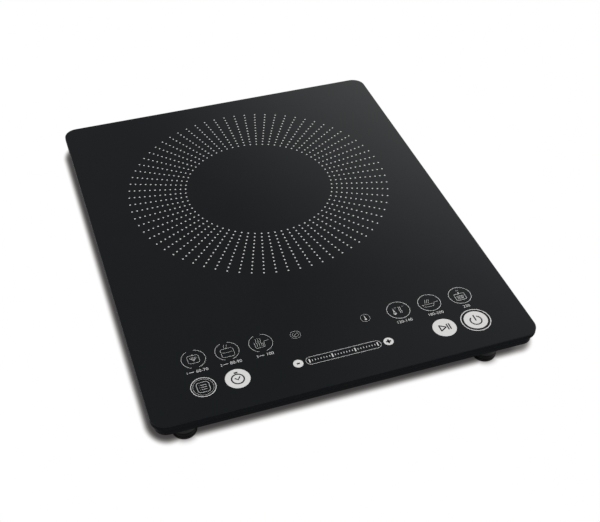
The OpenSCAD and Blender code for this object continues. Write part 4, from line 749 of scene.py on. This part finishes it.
# ------------------------------------------------------------------ fuse, tabs and terminals
# The fuse is a ceramic tube between tinned caps, the mains comes in on two brass tabs, and the
# coil's ring terminals are screwed to two posts. The headers are natural nylon.
ceramic = finish("fired ceramic", (0.74, 0.74, 0.71), (0.82, 0.82, 0.79), 1.5 * MM, (0.25, 0.4),
                 depth=0.008 * MM)
tinned = finish("tinned brass", (0.58, 0.50, 0.36), (0.72, 0.66, 0.52), 1.0 * MM, (0.2, 0.38),
                depth=0.006 * MM, metallic=1.0)
nylon = finish("natural nylon", (0.70, 0.70, 0.66), (0.80, 0.80, 0.76), 1.2 * MM, (0.35, 0.5),
               depth=0.01 * MM)
dress(ceramic, "mains_fuse")
dress(tinned, "mains_tabs", "coil_terminals", "touch_springs")
dress(nylon, "board_connectors")

# ------------------------------------------------------------------ blower
# A backward-curved wheel in a scroll housing draws air through the grille. The wheel, shaft and
# ring magnet turn together in a bronze bearing, round a stator of enamelled wire.
scroll = finish("blower moulding", (0.018, 0.018, 0.019), (0.030, 0.030, 0.032), 0.7 * MM,
                (0.4, 0.55), depth=0.02 * MM)
wheel_low, wheel_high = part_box("blower_wheel")
wheel_centre = (wheel_low + wheel_high) / 2
wheel_finish = banded("wheel moulding", (0.020, 0.020, 0.021), (0.032, 0.032, 0.034), 1.6 * MM,
                      (0.3, 0.42), 0.01 * MM, pattern="RINGS", axis="Z", centre=wheel_centre,
                      waver=1.0)
magnet = finish("bonded magnet", (0.050, 0.050, 0.052), (0.095, 0.095, 0.098), 0.4 * MM, (0.4, 0.6),
                depth=0.015 * MM, detail=6.0)
bronze = finish("sintered bronze", (0.40, 0.24, 0.09), (0.62, 0.41, 0.19), 0.25 * MM, (0.3, 0.5),
                depth=0.01 * MM, metallic=0.9, detail=6.0)
stator_wire = banded("enamelled stator wire", (0.34, 0.12, 0.035), (0.72, 0.36, 0.16), 0.5 * MM,
                     (0.2, 0.35), 0.06 * MM, axis="Z", waver=0.3, metallic=0.7)
ground_steel = finish("ground steel shaft", (0.60, 0.60, 0.62), (0.74, 0.74, 0.76), 0.4 * MM,
                      (0.12, 0.22), depth=0.002 * MM, metallic=1.0, stretch=(1, 1, 0.1))
dress(scroll, "blower_housing", "blower_cover")
dress(wheel_finish, "blower_wheel")
dress(magnet, "blower_magnet")
dress(bronze, "blower_bearing")
dress(stator_wire, "blower_stator")
dress(ground_steel, "blower_shaft")
dress(red_sleeve, "blower_lead")

# ------------------------------------------------------------------ control board
# A second board hangs under the glass. Its springs touch the glass below each key, white guides
# carry the light of its lamps up to the print, and a flat cable joins it to the main board.
resin = finish("pale lamp resin", (0.78, 0.77, 0.62), (0.86, 0.85, 0.72), 0.5 * MM, (0.1, 0.2),
               depth=0.005 * MM)
guide = finish("white guide moulding", (0.80, 0.80, 0.80), (0.88, 0.88, 0.88), 1.5 * MM,
               (0.25, 0.4), depth=0.008 * MM)
flat_cable = banded("grey flat cable", (0.30, 0.30, 0.32), (0.50, 0.50, 0.53), 1.27 * MM,
                    (0.4, 0.55), 0.15 * MM, axis="X")
touch_board = masked_board("green touch board", (0.018, 0.130, 0.045), (0.045, 0.240, 0.085),
                           3.81 * MM)
dress(touch_board, "control_board")
dress(resin, "indicator_lamps")
dress(guide, "light_guides")
dress(flat_cable, "ribbon_cable")

# ------------------------------------------------------------------ floor
# A plain white tabletop, wide enough to fill the view. Under the hob and just behind it lies a
# tight
# patch of painted shade: a glow painted over the paper, fainter towards the middle, with a little
# of the lamp's real shadow in it. Outside that patch the paper is seen as plain white, and from
# below it isn't there.
floor_size = 6.0
shape = bmesh.new()
bmesh.ops.create_grid(shape, x_segments=1, y_segments=1, size=floor_size)
mesh = bpy.data.meshes.new("studio_floor")
shape.to_mesh(mesh)
shape.free()
paper = bpy.data.materials.new("white paper sweep with painted shade")
paper.use_nodes = True
tree = paper.node_tree
shader = tree.nodes["Principled BSDF"]
shader.inputs["Roughness"].default_value = 0.9
shader.inputs["Specular IOR Level"].default_value = 0.0
# the place and size of the patch of painted shade on the paper
shade_left, shade_right = -glass_high.x + 0.9 * MM, glass_high.x + 15.2 * MM
shade_front, shade_back = -glass_high.y + 24.8 * MM, glass_high.y + 34 * MM
shade_turn = 0.0025        # the patch lies this much askew
shade_r = 13.2 * MM
shade_soft = 4.5 * MM      # half the width of its blurred edge at the sides
shade_press = 0.75         # the blur is wider along Y by so much
shade_middle = Vector(((shade_left + shade_right) / 2, (shade_front + shade_back) / 2, 0))
shade_half = Vector(((shade_right - shade_left) / 2 - shade_r,
                     (shade_back - shade_front) / 2 - shade_r / shade_press, 0))
place = add(tree, "ShaderNodeTexCoord").outputs["Object"]
centred = add(tree, "ShaderNodeMapping",
              {"Vector": place, "Location": shade_middle, "Rotation": (0, 0, shade_turn)},
              vector_type="TEXTURE").outputs[0]
beyond = vectors(tree, "SUBTRACT", vectors(tree, "ABSOLUTE", centred)[0], shade_half)[0]
beyond = vectors(tree, "MULTIPLY", beyond, (1, shade_press, 1))[0]
outside = vectors(tree, "LENGTH", vectors(tree, "MAXIMUM", beyond)[0])["Value"]
# painted shade: a rounded patch under the hob, dark inside and fading out across its edge
painted_shade_patch = add(tree, "ShaderNodeMapRange", {"Value": outside, "From Min": shade_r - shade_soft,
                                        "From Max": shade_r + shade_soft})
# painted contact shade: the paper is painted darker close round each foot's tip, the same in all
# four quarters
painted_foot_shade_w, painted_foot_shade_start = 6.8 * MM, 0.58
quarter = vectors(tree, "ABSOLUTE", place)[0]
from_foot = vectors(tree, "DISTANCE", quarter, (foot_x, foot_y, 0))["Value"]
painted_foot_shade = add(tree, "ShaderNodeMapRange",
              {"Value": from_foot, "From Min": tip_r, "From Max": tip_r + painted_foot_shade_w,
               "To Min": painted_foot_shade_start, "To Max": 1.0})
# the painted shade of the patch and of the feet, whichever is darker
depth = sums(tree, "MINIMUM", painted_shade_patch.outputs[0], painted_foot_shade.outputs[0])
path = add(tree, "ShaderNodeLightPath")
seen = sums(tree, "MAXIMUM", path.outputs["Is Glossy Ray"], path.outputs["Is Transmission Ray"])
seen = sums(tree, "MAXIMUM", path.outputs["Is Camera Ray"], seen)
# the painted shade, from its middle (0) to its outside (1): the paper's tone there, and the glow
# painted over it, which lightens it to white
painted_shade_stops = ((0.25, 0.10, 0.048), (0.385, 0.10, 0.072), (0.533, 0.10, 0.185), (0.69, 0.08, 0.486),
               (0.83, 0.03, 0.823), (0.92, 0.0, 0.955), (1.0, 0.0, 1.0))
# painted shade: its tint, warmer where it is painted darker
painted_shade_cast = (-0.04, 0.016, 0.024)      # the darker, the warmer
diffuse_ramp = add(tree, "ShaderNodeValToRGB", {"Fac": depth})
painted_shade_glow = add(tree, "ShaderNodeValToRGB", {"Fac": depth})
for number, (stop, *tones) in enumerate(painted_shade_stops):
    for ramp, tone in zip((diffuse_ramp, painted_shade_glow), tones):
        stops = ramp.color_ramp.elements
        element = stops[number] if number < 2 else stops.new(stop)
        element.position = stop
        element.color = (*(tone * (1 - (1 - tone) * cast) for cast in painted_shade_cast), 1)
bounce = (0.7, 0.7, 0.7, 1)             # the paper's tone for the light that it throws back
toned = add(tree, "ShaderNodeMix", {0: seen, 6: bounce, 7: diffuse_ramp.outputs[0]},
            data_type="RGBA")
tree.links.new(toned.outputs[2], shader.inputs["Base Color"])
tree.links.new(painted_shade_glow.outputs[0], shader.inputs["Emission Color"])
tree.links.new(seen, shader.inputs["Emission Strength"])
below = add(tree, "ShaderNodeNewGeometry").outputs["Backfacing"]
gone = add(tree, "ShaderNodeBsdfTransparent").outputs[0]
sheet = add(tree, "ShaderNodeMixShader", {0: below, 1: shader.outputs[0], 2: gone}).outputs[0]
tree.links.new(sheet, tree.nodes["Material Output"].inputs["Surface"])
floor_piece = placed("studio_floor", mesh, paper)

# ------------------------------------------------------------------ light
# One large soft lamp high in front of the hob, and a dim even room. A pale card stands low
# behind the hob to the right, and glossy surfaces see it fade into the dark ceiling, which is
# a little paler on that side.
lamp = bpy.data.objects.new("soft_lamp", bpy.data.lights.new("soft_lamp", "AREA"))
lamp.data.shape = "DISK"
lamp_size, lamp_watts = 1.0, 190
lamp_distance, lamp_height = 5.0, radians(61.5)
lamp.data.size = lamp_size
lamp.data.energy = lamp_watts
aim = Vector((0.02, -cos(lamp_height), sin(lamp_height)))
lamp.location = aim * lamp_distance
lamp.rotation_euler = aim.to_track_quat("Z", "Y").to_euler()
lamp.visible_glossy = False
scene.collection.objects.link(lamp)

world = bpy.data.worlds.new("studio")
scene.world = world
world.use_nodes = True
tree = world.node_tree
tree.nodes.clear()
direction = add(tree, "ShaderNodeTexCoord").outputs["Generated"]
card_turn, card_height = radians(42), radians(8)
card_inner, card_outer = radians(20.5), radians(41)     # its middle, and where it has faded out
ceiling, ceiling_pale, ambient = 0.145, 0.075, 0.28
card = Vector((sin(card_turn) * cos(card_height), cos(card_turn) * cos(card_height),
               sin(card_height)))


def eased(value, start, end, first, last):
    """Goes smoothly from the first result to the last while the value goes from start to end."""
    return add(tree, "ShaderNodeMapRange",
               {"Value": value, "From Min": start, "From Max": end,
                "To Min": first, "To Max": last}, interpolation_type="SMOOTHSTEP").outputs[0]


unit_ray = vectors(tree, "NORMALIZE", direction)[0]
angle = sums(tree, "ARCCOSINE", vectors(tree, "DOT_PRODUCT", unit_ray, card)["Value"])
glow = eased(angle, card_inner, card_outer, 1.0, ceiling)
parts = add(tree, "ShaderNodeSeparateXYZ", {0: unit_ray}).outputs
low = eased(parts["Z"], 0.1, 0.35, 1.0, 0.0)
high = eased(parts["Z"], 0.66, 0.72, 0.0, ceiling_pale)
rightward = eased(parts["X"], 0.2, 0.33, 0.0, 1.0)
seen = sums(tree, "MAXIMUM", glow, low)
seen = sums(tree, "ADD", seen, sums(tree, "MULTIPLY", high, rightward))
path = add(tree, "ShaderNodeLightPath")
plain = sums(tree, "MAXIMUM", path.outputs["Is Camera Ray"], path.outputs["Is Transmission Ray"])
lit = add(tree, "ShaderNodeMix", {0: path.outputs["Is Glossy Ray"], 2: ambient, 3: seen},
          data_type="FLOAT")
strength = add(tree, "ShaderNodeMix", {0: plain, 2: lit.outputs[0], 3: 1.0}, data_type="FLOAT")
sky = add(tree, "ShaderNodeBackground", {"Color": (1, 1, 1, 1), "Strength": strength.outputs[0]})
add(tree, "ShaderNodeOutputWorld", {0: sky.outputs[0]})

scene.view_settings.view_transform = "Standard"
